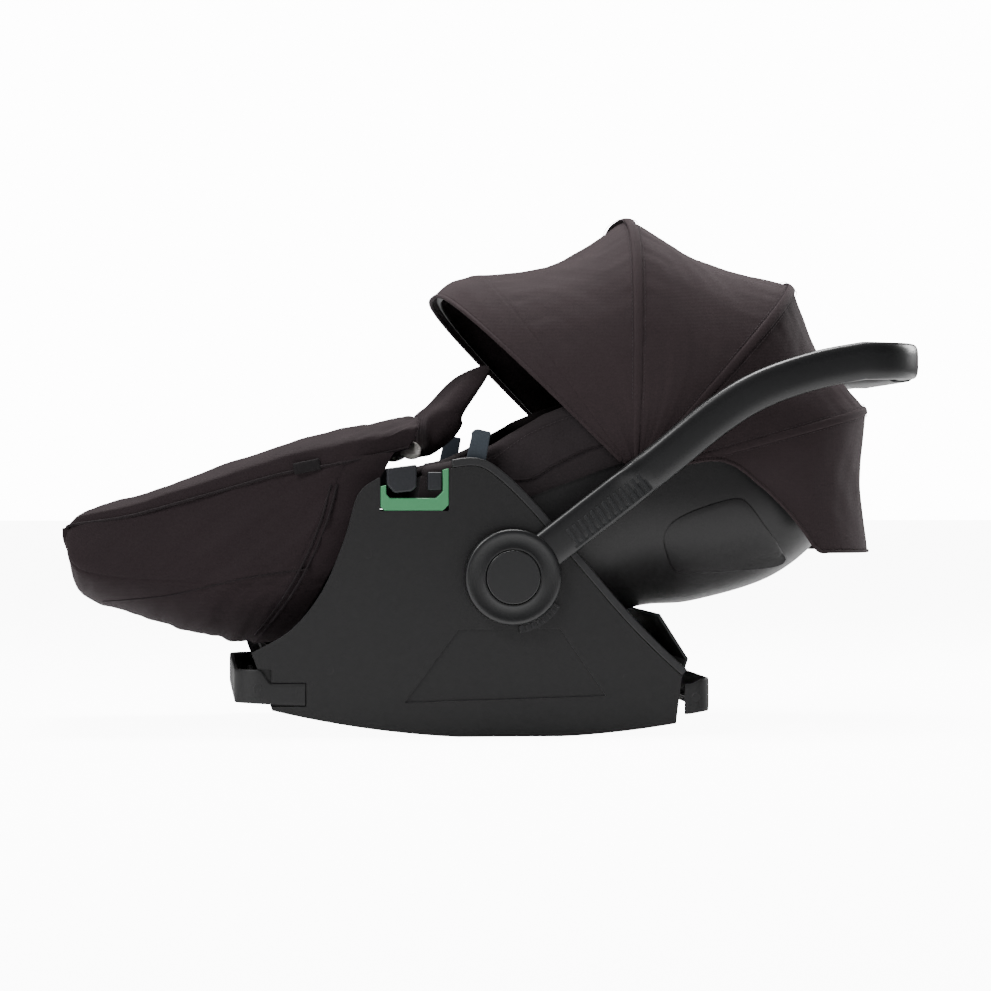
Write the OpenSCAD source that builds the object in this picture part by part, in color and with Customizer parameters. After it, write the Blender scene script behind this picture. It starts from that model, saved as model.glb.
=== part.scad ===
// Infant car seat: rocker base, reclining bucket seat, carry handle, folding canopy, harness and foot muff.
// X runs from the feet (-) to the head (+), Y across (left of the child is -), Z up from the floor.
// The origin lies on the floor, in the middle of the rocker's flat rest patch and under the handle axis.

/* [Base] */
// Distance between the outer faces of the two side panels
base_w = 410; // [390:1:460]
// Thickness of a side panel
panel_t = 5; // [4:0.5:6]
// Wall thickness of the tub's floor and end walls
tub_wall = 3; // [2.5:0.5:4]
// Thickness of the tub's side plates behind the panels
tub_side_t = 4; // [3:0.5:6]
// Radius of the rocker curve
rocker_r = 1050; // [900:10:1400]
// Height of the handle and recline axis above the floor
axis_z = 166; // [160:1:172]
// Height that the rest patch cuts off the rocker curve
rest_cut = 1.5; // [1:0.1:2]
// Width of the bead along the panel's top edge
bead_w = 9; // [6:0.5:11]
// Depth of the recess in the panel under the hub
relief_t = 2; // [1:0.5:3]

/* [Belt path] */
// Clear length of the lap belt guide, between its end walls
guide_len = 59; // [54:1:64]
// Wall of the lap belt guide
guide_wall = 6; // [4:0.5:7]
// Depth of the guide's floor below the panel's top edge
guide_depth = 31; // [27:1:34]
// Length of the front hook block that keeps the belt down
hook_len = 31; // [26:1:33]
// Length of the rear retainer block
retainer_len = 15; // [10:1:17]

/* [Bumpers and adapters] */
// Height of a bumper
bumper_h = 38; // [30:1:44]
// Diameter of a steel latch bar
latch_bar_d = 8; // [6:0.5:10]
// Length of the adapter socket's inside
socket_len = 42; // [34:1:46]
// Width of the adapter socket's inside
socket_w = 20; // [14:1:22]
// Wall of the adapter socket
socket_wall = 3; // [2:0.5:4]
// Height of the adapter socket's roof above the floor
socket_top = 72; // [60:1:74]

/* [Handle] */
// Diameter of the handle axle
axle_d = 12; // [10:0.5:16]
// Radius of the handle's hub disc
hub_r = 50; // [44:1:54]
// Radius of the round handle button
button_r = 28; // [22:1:32]
// Travel of the round handle button
button_travel = 3; // [2:0.5:4]
// Height of the handle arm, seen from the side
arm_h = 40; // [32:1:46]
// Thickness of the handle arm, beyond the panels
arm_t = 20; // [16:1:24]
// Wall of the arm round its hollow channel
arm_wall = 5; // [4:0.5:7]
// Thickness of the hub disc
hub_t = 13.5; // [12.5:0.5:18]
// Distance from the canopy's furthest reach to the middle of the cross bar
bar_clear = 18; // [16:1:40]
// Height of the middle of the cross bar above the axle
bar_z = 230; // [224:1:240]
// Thickness of the cross bar, from front to back
bar_t = 30; // [26:1:36]
// Height of the cross bar
bar_h = 37; // [32:1:40]
// Radius of the handle's corners, to the middle of the tube
corner_r = 60; // [50:1:80]
// Length of the soft grip on the cross bar
grip_len = 220; // [160:2:260]
// Wall of the soft grip
grip_wall = 4; // [3:0.5:5]
// Number of ribs on an arm's grip insert
insert_ribs = 13; // [8:1:16]

/* [Seat] */
// Distance between the bucket shell and the tub's side plate, on each side
seat_side_gap = 21.7; // [20.7:0.5:30.7]
// Wall of the bucket shell
shell_wall = 3; // [2.5:0.5:4]
// Thickness of the foam liner
foam_t = 11; // [8:1:16]
// Thickness of the padded seat cover
pad_t = 9; // [5:1:11]
// Thickness of the cover's skirt outside the shell
skirt_t = 3; // [2:0.5:3]
// Radius of the seat's pivot plates
pivot_r = 30; // [22:1:34]

/* [Headrest] */
// Length of the headrest along the back
headrest_len = 90; // [70:1:96]
// Distance between a headrest wing and the side of the seat pad
headrest_side_gap = 31.4; // [25.4:0.5:45.4]
// Height of the headrest's side wings
headrest_h = 105; // [80:1:120]
// Thickness of the headrest's board
headrest_board_t = 4; // [3:0.5:5]
// Thickness of the headrest's padding
headrest_pad_t = 14; // [10:1:20]

/* [Harness] */
// Width of the shoulder and lap webbing
web_w = 32; // [25:1:38]
// Thickness of the webbing
web_t = 2; // [1:0.5:2]
// Width of a shoulder pad
shoulder_pad_w = 54; // [44:1:58]
// Thickness of a shoulder pad
shoulder_pad_t = 9; // [6:0.5:10]
// Length of the buckle body
buckle_len = 54; // [46:1:58]
// Width of the buckle body
buckle_w = 48; // [40:1:54]
// Height of the buckle body
buckle_h = 18; // [16:1:20]

/* [Canopy] */
// Place of the canopy pivot along the seat
canopy_x = 132; // [128:1:136]
// Depth of the canopy pivot below the highest point of the shell's rim
canopy_depth = 90; // [86:1:94]
// Distance by which the canopy clears the head end of the shell
canopy_clear = 34; // [26:1:36]
// Clearance between a canopy bow and the cover on the shell, on each side
bow_clear = 1.7; // [1.2:0.1:3]
// Thickness of the canopy's fabric with its lining
canopy_t = 2.4; // [1.5:0.1:3]
// Depth of a canopy bow's flat strip
bow_d = 6; // [4:0.5:8]
// Thickness of a canopy bow's flat strip
bow_t = 2.4; // [1.5:0.1:2.6]

/* [Foot muff] */
// Thickness of the foot muff's padding
muff_t = 10; // [6:1:14]
// Distance between the muff's side and the tub's side plate
muff_side_gap = 7.7; // [6.7:0.5:12.7]
// Distance from the canopy's side to the end of the folded collar
collar_end_gap = 47; // [42:1:70]

/* [Hidden] */

gap = 0.3;               // clearance between neighbouring pieces
run = 0.05;              // radial clearance of a shaft in its hole
layer_gap = 0.8;         // clearance between curved layers
fine = 64;               // facets asked of round parts

panel_out = base_w/2;                        // outer face of a side panel, from the middle
panel_in = panel_out - panel_t;              // its inner face
side_out = panel_in - gap;                   // outer face of the tub's side plate
side_in = side_out - tub_side_t;             // inner face of the tub's side plate
shell_half = side_in - seat_side_gap;        // half width of the bucket shell's outside
stack = shell_wall + foam_t + pad_t + 2*layer_gap;   // height of the pad's surface over the shell's outside

hub_in = panel_out + 0.4;                    // inner face of the handle's hub disc
hub_out = hub_in + hub_t;                    // its outer face
hub_step = 2;                                // height of the hub disc over the arm
arm_out = hub_out - hub_step;                // outer face of the handle arm
arm_in = arm_out - arm_t;                    // inner face of the arm, beyond the panels
pocket_floor_t = 6;                          // wall between the panel and the button's pocket
pocket_y = hub_in + pocket_floor_t;          // floor of the button's pocket
button_in = pocket_y + button_travel + 0.5;  // inner face of the button at rest
button_rise = 2.5;                           // how far the button stands out of the hub
button_out = hub_out + button_rise;
clear_r = 160;                               // the arm keeps outside the panels up to this radius

// Stations of the bucket from the feet to the head: middle of the floor, then the rim, seen from the side
bucket_floor = [[-112, 248], [-100, 160], [-30, 98], [70, 95], [150, 128], [215, 135], [300, 161],
    [355, 208], [378, 268]];
bucket_rim = [[-112, 262], [-88, 273], [-30, 290], [50, 334], [130, 358], [205, 362], [280, 353],
    [338, 332], [378, 296]];

bow_gap = 1.6;                               // clearance between a bow and the fabric over it
skirt_out = shell_half + gap + skirt_t;      // outside of the cover on the shell
canopy_half = skirt_out + bow_clear + bow_d + bow_gap + canopy_t;   // half width of the canopy at its pivots
canopy_z = bucket_rim[5].y - canopy_depth;   // height of its pivot
canopy_r = bucket_floor[8].x + canopy_clear - canopy_x;   // radius from its pivot to the top of a bow
muff_out = side_in - muff_side_gap;          // half width of the muff where it is widest

// ---- curves and sheets ----

// Catmull-Rom value between b and c at f, for points or plain numbers
function blend_of(a, b, c, d, f) =
    0.5*(2*b + (c - a)*f + (2*a - 5*b + 4*c - d)*f*f + (3*b - a - 3*c + d)*f*f*f);

// Value at u (0 to 1) of the smooth curve through the listed values
function at(list, u) =
    let (n = len(list) - 1, s = min(max(u, 0)*n, n - 0.00001), i = floor(s))
    blend_of(list[max(i - 1, 0)], list[i], list[i + 1], list[min(i + 2, n)], s - i);

// Height of a line of points at x, between the two nearest points
function at_x(list, x) = lookup(x, list);

// Points of the smooth curve through the listed points
function smooth(list, steps) = [for (k = [0:steps]) at(list, k/steps)];

// Normal of a flat path at one point, to the left of its direction
function side_of(path, i) =
    let (a = path[max(i - 1, 0)], b = path[min(i + 1, len(path) - 1)], d = (b - a)/norm(b - a)) [-d.y, d.x];

// Closed outline between two offsets of a flat path, low and high to its left
function ribbon(path, low, high) = concat(
    [for (i = [0:len(path) - 1]) path[i] + low*side_of(path, i)],
    [for (i = [len(path) - 1:-1:0]) path[i] + high*side_of(path, i)]);

// Solid between two grids of points with the same rows and columns
module sheet(top, low) {
    rows = len(top);
    cols = len(top[0]);
    n = rows*cols;
    points = concat([for (r = top) each r], [for (r = low) each r]);
    upper = [for (i = [0:rows - 2], j = [0:cols - 2]) let (k = i*cols + j)
        each [[k, k + 1, k + cols + 1], [k, k + cols + 1, k + cols]]];
    lower = [for (f = upper) [n + f[0], n + f[2], n + f[1]]];
    rim = concat([for (j = [0:cols - 1]) j], [for (i = [1:rows - 1]) i*cols + cols - 1],
        [for (j = [cols - 2:-1:0]) (rows - 1)*cols + j], [for (i = [rows - 2:-1:1]) i*cols]);
    m = len(rim);
    edges = [for (k = [0:m - 1]) let (a = rim[k], b = rim[(k + 1) % m])
        each [[a, n + a, n + b], [a, n + b, b]]];
    polyhedron(points, concat(upper, lower, edges), convexity = 6);
}

// Flat shape in X and Z, made solid between two distances from the middle, on one side (-1 left, 1 right)
module flank(side, near, far) {
    translate([0, side < 0 ? -near : far, 0])
        rotate([90, 0, 0])
            linear_extrude(far - near) children();
}

// Flat shape in X and Z, made solid across the middle
module across_middle(width) {
    translate([0, width/2, 0])
        rotate([90, 0, 0])
            linear_extrude(width) children();
}

// Cylinder along Y between two distances from the middle, on one side
module pin_y(side, near, far, r, x, z) {
    translate([x, side < 0 ? -near : far, z])
        rotate([90, 0, 0])
            cylinder(h = far - near, r = r, $fn = fine);
}

// Left-hand shape, mirrored for the right
module on_side(side) {
    mirror([0, side > 0 ? 1 : 0, 0]) children();
}

// ---- base ----

function rocker_z(x) = max(0, rocker_r - rest_cut - sqrt(rocker_r*rocker_r - x*x));

rocker_front = -249;     // front end of the rocker curve on the panels
tub_foot = -240;         // front end of the rocker curve on the tub's floor
rocker_rear = 172;       // rear end of both

panel_top = 279;                             // height of the panel behind the belt guide
notch_front = -137;                          // front of the notch for the belt guide
guide_in = notch_front + guide_wall;         // front end of the belt's way
guide_end = guide_in + guide_len;            // rear end of the belt's way
guide_tail = guide_end + guide_wall;         // rear end of the guide
guide_z = panel_top - guide_depth;           // floor of the belt's way
guide_low = guide_z - 13;                    // underside of the guide
guide_inner_y = side_in - 4;                 // inner face of the guide and its blocks

// Edge of the panel, from the front corner to the notch, and from the notch to the rear corner
panel_front_edge = [[-270, 88], [-229, 112], [-197, 152], [-174, 206], [-160, 252], [notch_front - 2, 269]];
panel_rear_edge = [[guide_tail + 4, panel_top], [-38, 281], [-18, 271], [15, 240], [60, 188], [114, 125],
    [152, 86], [178, 62]];
function rocker_path(from) = [for (k = [0:24]) let (x = from + (rocker_rear - from)*k/24) [x, rocker_z(x)]];
edge_path = smooth(panel_rear_edge, 28);

front_bumper_root = -214;                    // rear ends of the front bumper's legs
front_bumper_tip = -288;
front_bumper_top = 71;
front_leg_top = 57;                          // top of its legs, beside the panels
front_leg_x = -250;                          // where the top steps down to the legs
rear_bumper_root = 180.5;
rear_bumper_tip = 209;
rear_bumper_top = 60;

screw_d = 4;             // thread of a panel screw
screw_head_d = 8;
screw_sink = 3;          // depth of the hole for its head
screw_bite = 1;          // how far a screw stays short of the faces it joins
screw_places = [[-190, 70], [-150, 190], [120, 60], [36, 190]];

module panel_outline() {
    floor_path = [for (k = [24:-1:0]) rocker_path(rocker_front)[k]];
    polygon(concat(smooth(panel_front_edge, 20), edge_path, floor_path));
}

// Room for a leg of the front bumper, which lies flush in the panel
module bumper_notch() {
    low = front_bumper_top - bumper_h - 2*gap;
    translate([front_bumper_tip, low])
        square([front_bumper_root - front_bumper_tip + gap, front_leg_top + gap - low]);
    translate([front_bumper_tip, low])
        square([front_leg_x - front_bumper_tip + gap, front_bumper_top + gap - low]);
}

module belt_notch() {
    translate([notch_front - gap, guide_low - gap])
        square([guide_tail - notch_front + 2*gap, 120]);
}

// Recess under the hub, a trapezoid that widens towards the floor
relief_top = axis_z - hub_r - 4;

module relief() {
    polygon([[-112, 36], [-56, relief_top], [50, relief_top], [98, 42]]);
}

module side_panel(side) {
    difference() {
        flank(side, panel_in, panel_out)
            difference() {
                panel_outline();
                belt_notch();
                bumper_notch();
            }
        flank(side, panel_out - relief_t, panel_out + 1)
            relief();
        pin_y(side, panel_in - 1, panel_out + 5, axle_d/2 + run, 0, axis_z);
        for (p = screw_places)
            pin_y(side, panel_in - 1, panel_out + 1, screw_d/2 + run, p.x, p.y);
        for (p = screw_places)
            pin_y(side, panel_out - screw_sink, panel_out + 1, screw_head_d/2 + gap, p.x, p.y);
    }
}

module panel_screws() {
    color("dimgray")
        for (side = [-1, 1], p = screw_places) {
            pin_y(side, side_in + screw_bite, panel_out - screw_bite, screw_d/2, p.x, p.y);
            pin_y(side, panel_out - screw_sink + 0.1, panel_out - 0.8, screw_head_d/2, p.x, p.y);
        }
}

module side_panel_left() {
    color([0.13, 0.13, 0.13]) side_panel(-1);
}

module side_panel_right() {
    color([0.13, 0.13, 0.13]) side_panel(1);
}

module rim_trim(side) {
    flank(side, side_in + 1, panel_out)
        polygon(ribbon(edge_path, gap, bead_w));
}

module rim_trim_left() {
    color([0.2, 0.2, 0.2]) rim_trim(-1);
}

module rim_trim_right() {
    color([0.2, 0.2, 0.2]) rim_trim(1);
}

// The tub's end walls and floor, from the front lip over the rocker curve to the rear lip
tub_front = [[-256, 82], [-242, 75], [-240, 60]];
tub_rear = [[174, 24], [178, 56], [186, 80], [156, 127]];
tub_path = concat(tub_front, rocker_path(tub_foot), tub_rear);

lever_x = -36;           // place of a release lever's pin
lever_z = 240;
lever_pin_d = 6;

module base_tub() {
    color([0.1, 0.1, 0.1])
        difference() {
            union() {
                for (side = [-1, 1])
                    flank(side, side_in, side_out)
                        difference() {
                            panel_outline();
                            belt_notch();
                        }
                across_middle(2*side_in + 1)
                    polygon(ribbon(tub_path, 0, tub_wall));
            }
            for (side = [-1, 1]) {
                pin_y(side, side_in - 1, side_out + 1, axle_d/2 + run, 0, axis_z);
                pin_y(side, side_in - 1, side_out + 1, lever_pin_d/2 + run, lever_x, lever_z);
                for (p = screw_places)
                    pin_y(side, side_in - 1, side_out + 1, screw_d/2 + run, p.x, p.y);
                translate([-socket_len/2 - socket_wall - gap, side*socket_mid - socket_half - gap, -5])
                    cube([socket_len + 2*socket_wall + 2*gap, 2*(socket_half + gap), 20]);
            }
        }
}

module belt_guide(side) {
    flank(side, guide_inner_y, panel_out)
        difference() {
            polygon([[notch_front, guide_low + 4], [notch_front + 4, guide_low],
                [guide_tail - 6, guide_low], [guide_tail, guide_low + 6],
                [guide_tail, panel_top], [notch_front, panel_top - 19]]);
            polygon([[guide_in, guide_z + 4], [guide_in + 4, guide_z], [guide_end - 7, guide_z],
                [guide_end, guide_z + 7], [guide_end, panel_top + 21], [guide_in, panel_top + 21]]);
        }
}

module belt_guide_left() {
    color([0.41, 0.63, 0.45]) belt_guide(-1);
}

module belt_guide_right() {
    color([0.41, 0.63, 0.45]) belt_guide(1);
}

module belt_hooks() {
    hook_x = guide_in + 0.5;
    color([0.15, 0.15, 0.16])
        for (side = [-1, 1])
            flank(side, guide_inner_y, panel_out + 3)
                polygon([[hook_x, guide_z + 14], [hook_x + 8, guide_z + 5],
                    [hook_x + hook_len - 5, guide_z + 7], [hook_x + hook_len, guide_z + 12],
                    [hook_x + hook_len, panel_top + 4], [hook_x, panel_top]]);
}

module belt_retainers() {
    end_x = guide_end - 0.6;
    color([0.15, 0.15, 0.16])
        for (side = [-1, 1])
            flank(side, guide_inner_y, panel_out - 4)
                translate([end_x - retainer_len, guide_z + 8])
                    square([retainer_len, panel_top - guide_z - 12]);
}

// U seen from above with its open end on the tub, bored across for a latch bar
module bumper(root_x, tip_x, top, bar) {
    reach = abs(tip_x - root_x);
    round = 24;
    difference() {
        translate([root_x, 0, top - bumper_h])
            mirror([tip_x < root_x ? 1 : 0, 0, 0])
                linear_extrude(bumper_h)
                    difference() {
                        rounded_end(reach, 2*panel_out, round);
                        translate([-1, 0])
                            rounded_end(reach + 1 - panel_t, 2*panel_in, round - panel_t);
                    }
        latch_bar(bar, 2*panel_out + 2, latch_bar_d/2 + run);
    }
}

// Bar or bore across the middle, at a place seen from the side
module latch_bar(place, length, r) {
    translate([place.x, 0, place.y])
        rotate([90, 0, 0])
            cylinder(h = length, r = r, center = true, $fn = fine);
}

// Rectangle from x = 0 with its two far corners round
module rounded_end(reach, width, round) {
    intersection() {
        translate([0, -width/2])
            square([reach, width]);
        union() {
            translate([0, -width/2])
                square([reach - round, width]);
            translate([0, -width/2 + round])
                square([reach, width - 2*round]);
            for (s = [-1, 1])
                translate([reach - round, s*(width/2 - round)])
                    circle(r = round, $fn = fine);
        }
    }
}

front_bar = [-264, front_bumper_top - bumper_h/2];
rear_bar = [193, rear_bumper_top - bumper_h/2 - 1];

module front_bumper() {
    color([0.12, 0.12, 0.12])
        difference() {
            bumper(front_bumper_root, front_bumper_tip, front_bumper_top, front_bar);
            translate([front_leg_x, -panel_out - 1, front_leg_top])
                cube([front_bumper_root - front_leg_x + 1, 2*panel_out + 2,
                    front_bumper_top - front_leg_top + 1]);
        }
}

module rear_bumper() {
    color([0.12, 0.12, 0.12])
        bumper(rear_bumper_root, rear_bumper_tip, rear_bumper_top, rear_bar);
}

module latch_bars() {
    color("silver")
        for (place = [front_bar, rear_bar])
            latch_bar(place, 2*panel_out - 1, latch_bar_d/2);
}

// ---- adapter sockets, latches and release levers ----

socket_half = socket_w/2 + socket_wall;
socket_mid = side_in - 2 - socket_half;      // middle of a socket, from the middle of the base
socket_low = rest_cut;                       // its open end, clear of the floor
latch_z = 44;         // underside of a latch
latch_h = 10;
latch_w = 12;
latch_len = 28;
shelf_t = 5;          // thickness of the shelf that a latch slides on
latch_reach = 4;      // how far the latch stands into the socket

module adapter_socket(side) {
    translate([0, side*socket_mid, 0])
        difference() {
            union() {
                translate([-socket_len/2 - socket_wall, -socket_half, socket_low])
                    cube([socket_len + 2*socket_wall, 2*socket_half, socket_top - socket_low]);
                translate([socket_len/2 + socket_wall - 0.5, -latch_w/2 - 2, latch_z - shelf_t])
                    cube([latch_len, latch_w + 4, shelf_t - gap]);
            }
            translate([-socket_len/2, -socket_w/2, socket_low - 1])
                cube([socket_len, socket_w, socket_top - socket_wall - socket_low + 1]);
            translate([0, -latch_w/2 - gap, latch_z - gap])
                cube([socket_len, latch_w + 2*gap, latch_h + 2*gap]);
        }
}

module adapter_socket_left() {
    color([0.2, 0.2, 0.2]) adapter_socket(-1);
}

module adapter_socket_right() {
    color([0.2, 0.2, 0.2]) adapter_socket(1);
}

module adapter_latch(side) {
    translate([socket_len/2 - latch_reach, side*socket_mid, 0])
        rotate([90, 0, 0])
            linear_extrude(latch_w, center = true)
                polygon([[0, latch_z + latch_h - 2], [6, latch_z], [latch_len, latch_z],
                    [latch_len, latch_z + latch_h], [0, latch_z + latch_h]]);
}

module adapter_latch_left() {
    color("silver") adapter_latch(-1);
}

module adapter_latch_right() {
    color("silver") adapter_latch(1);
}

lever_out = side_in - 2;     // outer face of a lever
lever_t = 6;
lever_in = lever_out - lever_t;
lever_eye_r = 8;

module release_lever(side) {
    difference() {
        union() {
            flank(side, lever_in, lever_out)
                polygon(concat([[lever_x - lever_eye_r, lever_z], [lever_x - 12, 283], [-41, 314]],
                    [for (k = [0:6]) [-35, 313] + 7*[cos(160 - 14*k), sin(160 - 14*k)]],
                    [[-21, 317], [-27, 283], [lever_x + lever_eye_r, lever_z]]));
            pin_y(side, lever_in, lever_out, lever_eye_r, lever_x, lever_z);
        }
        pin_y(side, lever_in - 1, lever_out + 1, lever_pin_d/2 + run, lever_x, lever_z);
    }
}

module release_lever_left() {
    color([0.25, 0.28, 0.32]) release_lever(-1);
}

module release_lever_right() {
    color([0.25, 0.28, 0.32]) release_lever(1);
}

module lever_pins() {
    color("silver")
        for (side = [-1, 1])
            pin_y(side, lever_in + 0.2, side_out - 0.2, lever_pin_d/2, lever_x, lever_z);
}

// ---- handle axis ----

pivot_out = side_in - 1.5;
pivot_in = shell_half + gap;

module pivot_axles() {
    color("silver")
        for (side = [-1, 1])
            pin_y(side, pivot_in + 0.5, pocket_y - 0.2, axle_d/2, 0, axis_z);
}

// Toothed ring round the lower rear of the hub, standing on the panel
module lock_teeth() {
    ring_in = hub_r + 0.6;
    ring_w = 8.4;
    ring_t = 2;
    tooth_h = 5;
    tooth_w = 2;
    teeth = 8;
    color([0.1, 0.1, 0.1])
        for (side = [-1, 1])
            on_side(side)
                translate([0, -panel_out - 0.1, axis_z])
                    rotate([90, 0, 0]) {
                        rotate([0, 0, -82])
                            rotate_extrude(angle = 50, $fn = 2*fine)
                                translate([ring_in, 0])
                                    square([ring_w, ring_t]);
                        for (k = [0:teeth - 1])
                            rotate([0, 0, -81 + 48*k/(teeth - 1)])
                                translate([ring_in + 1, -tooth_w/2, 0])
                                    cube([ring_w - 2, tooth_w, tooth_h]);
                    }
}

// ---- handle ----

bar_x = canopy_x + canopy_r + bar_clear;     // middle of the cross bar
bar_mid = bar_z - 3;                         // middle of the tube under the grip, above the axle

// Bend of an arm as shares of its reach and rise, straight up to the third point
arm_bend = [[0, 0], [0.203, 0.257], [0.405, 0.513], [0.578, 0.739], [0.708, 0.867], [0.865, 0.956], [1, 1]];
arm_axis = [for (p = arm_bend) [p.x*(bar_x - corner_r), p.y*(bar_z - 4)]];
arm_path = concat([0.5*at(arm_axis, 1/12)], [for (k = [2:36]) at(arm_axis, k/36)]);
channel_path = [for (k = [15:32]) at(arm_axis, k/36)];

module arm_outline() {
    polygon(ribbon(arm_path, -arm_h/2, arm_h/2));
}

// Upright section of the handle tube at its corners: a bar with round edges, standing on its middle
module tube_section(t, h, round) {
    square([t, h - 2*round], center = true);
    square([t - 2*round, h], center = true);
    for (x = [-1, 1], y = [-1, 1])
        translate([x*(t/2 - round), y*(h/2 - round)])
            circle(r = round, $fn = 32);
}

module hub_disc(side) {
    pin_y(side, hub_in, hub_out, hub_r, 0, 0);
}

insert_angle = atan2(arm_axis[1].y, arm_axis[1].x);
insert_from = 70;        // distance of the grip insert from the axle
insert_len = 102;
insert_h = 22;
insert_depth = 3;
insert_low = 3 - arm_h/2;    // its lower edge, from the middle of the arm
tube_round = 7;          // radius of the tube's edges
waist_round = 4;         // radius of its edges under the soft grip

arm_mid = arm_out - arm_t/2;
corner_mid = arm_mid - corner_r;

module handle_frame() {
    color([0.1, 0.1, 0.11])
        translate([0, 0, axis_z])
            difference() {
                union() {
                    for (side = [-1, 1]) {
                        hub_disc(side);
                        flank(side, arm_in, arm_out)
                            difference() {
                                arm_outline();
                                circle(r = clear_r, $fn = 2*fine);
                            }
                        flank(side, hub_in, arm_out)
                            intersection() {
                                arm_outline();
                                circle(r = clear_r + 2, $fn = 2*fine);
                            }
                        translate([bar_x - corner_r, side*corner_mid, bar_mid])
                            rotate([0, 0, side < 0 ? -90 : 0])
                                rotate_extrude(angle = 90, $fn = 2*fine)
                                    translate([corner_r, 0])
                                        tube_section(arm_t, bar_h, tube_round);
                    }
                    translate([bar_x, 0, bar_mid])
                        rotate([90, 0, 0])
                            linear_extrude(2*corner_mid, center = true)
                                tube_section(arm_t, bar_h, tube_round);
                }
                for (side = [-1, 1]) {
                    // channel along the inside of the arm
                    flank(side, arm_in - 1, arm_out - arm_wall)
                        polygon(ribbon(channel_path, -arm_h/2 + arm_wall, arm_h/2 - arm_wall));
                    pin_y(side, hub_in - 1, pocket_y + 1, axle_d/2 + run, 0, 0);
                    pin_y(side, pocket_y, hub_out + 1, button_r + gap, 0, 0);
                    flank(side, arm_out - insert_depth, arm_out + 1)
                        rotate([0, 0, insert_angle])
                            translate([insert_from - gap, insert_low - gap])
                                square([insert_len + 2*gap, insert_h + 2*gap]);
                }
                // waist under the soft grip
                translate([bar_x, 0, bar_mid])
                    rotate([90, 0, 0])
                        linear_extrude(grip_len + 2*gap, center = true)
                            difference() {
                                square([arm_t + 10, bar_h + 10], center = true);
                                tube_section(arm_t - 2*grip_wall, bar_h - 2*grip_wall, waist_round);
                            }
            }
}

module handle_grip() {
    color([0.14, 0.14, 0.15])
        translate([bar_x, 0, axis_z + bar_mid])
            rotate([90, 0, 0])
                linear_extrude(grip_len, center = true)
                    difference() {
                        tube_section(bar_t, bar_h + 3, 9);
                        tube_section(arm_t - 2*grip_wall + 2*gap, bar_h - 2*grip_wall + 2*gap,
                            waist_round + gap);
                    }
}

module arm_insert(side) {
    translate([0, 0, axis_z]) {
        flank(side, arm_out - insert_depth + gap, arm_out - 0.5)
            rotate([0, 0, insert_angle])
                translate([insert_from, insert_low])
                    square([insert_len, insert_h]);
        flank(side, arm_out - insert_depth + gap, arm_out + 1)
            rotate([0, 0, insert_angle])
                for (k = [0:insert_ribs - 1])
                    translate([insert_from + 3 + (insert_len - 10)*k/(insert_ribs - 1), insert_low])
                        square([4, insert_h]);
    }
}

module arm_insert_left() {
    color([0.2, 0.2, 0.2]) arm_insert(-1);
}

module arm_insert_right() {
    color([0.2, 0.2, 0.2]) arm_insert(1);
}

module handle_button(side) {
    pin_y(side, button_in, button_out, button_r, 0, axis_z);
}

module handle_button_left() {
    color([0.16, 0.16, 0.16]) handle_button(-1);
}

module handle_button_right() {
    color([0.16, 0.16, 0.16]) handle_button(1);
}

// ---- bucket seat ----

// Width of each station of the bucket, as a share of the full width
bucket_share = [0.8, 0.93, 1, 1, 1, 0.99, 0.94, 0.8, 0.5];
bowl_share = 0.55;       // share of a station's depth that is round, below its straight side walls
bowl_power = 0.8;        // lower makes the bowl squarer
wall_from = 0.7;         // where the straight walls begin, from 0 at the middle to 1 at the rim
u_steps = 28;            // stations of a drawn dish
v_steps = 20;            // points across a drawn dish

// Point of a dish: u runs along its floor, v from one rim (-1) over the floor (0) to the other (1)
function dish_point(floor, rim, half, u, v) =
    let (b = at(floor, u), r = at(rim, u), w = min(at(half, u), max(half)),
        turn = 90*min(abs(v)/wall_from, 1),
        bowl = bowl_share*(1 - pow(cos(turn), bowl_power)),
        wall = max(abs(v) - wall_from, 0)/(1 - wall_from),
        p = b + (r - b)*(bowl + (1 - bowl_share)*wall))
    [p.x, sign(v)*w*pow(sin(turn), bowl_power), p.y];

// The same point moved inwards, square to the dish's surface
function dish_inner(floor, rim, half, u, v, skin) =
    let (along = dish_point(floor, rim, half, min(u + 0.01, 1), v)
            - dish_point(floor, rim, half, max(u - 0.01, 0), v),
        over = dish_point(floor, rim, half, u, min(v + 0.04, 1))
            - dish_point(floor, rim, half, u, max(v - 0.04, -1)),
        n = cross(along, over))
    dish_point(floor, rim, half, u, v) + skin*n/norm(n);

// Padded or moulded dish between two depths of skin, from one station to another, its rim cut down to top
module dish(floor, rim, half, low, high, first = 0, last = u_steps, top = 1) {
    function across(j) = let (v = 2*j/v_steps - 1, w = abs(v))
        w <= wall_from ? v : sign(v)*(wall_from + (w - wall_from)*(top - wall_from)/(1 - wall_from));
    function grid(skin) = [for (i = [first:last])
        [for (j = [0:v_steps]) dish_inner(floor, rim, half, i/u_steps, across(j), skin)]];
    sheet(grid(high), grid(low));
}

shell_halves = shell_half*bucket_share;
inset_t = 2;             // thickness of the shell's inset panels

module seat_shell() {
    color([0.11, 0.11, 0.12])
        dish(bucket_floor, bucket_rim, shell_halves, 0, shell_wall);
}

module foam_liner() {
    low = shell_wall + layer_gap;
    color([0.2, 0.2, 0.2])
        dish(bucket_floor, bucket_rim, shell_halves, low, low + foam_t, 2, u_steps - 1, 0.96);
}

module seat_pad() {
    low = shell_wall + foam_t + 2*layer_gap;
    color([0.17, 0.14, 0.15])
        dish(bucket_floor, bucket_rim, shell_halves, low, low + pad_t, 2, u_steps - 1, 0.98);
}

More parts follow.
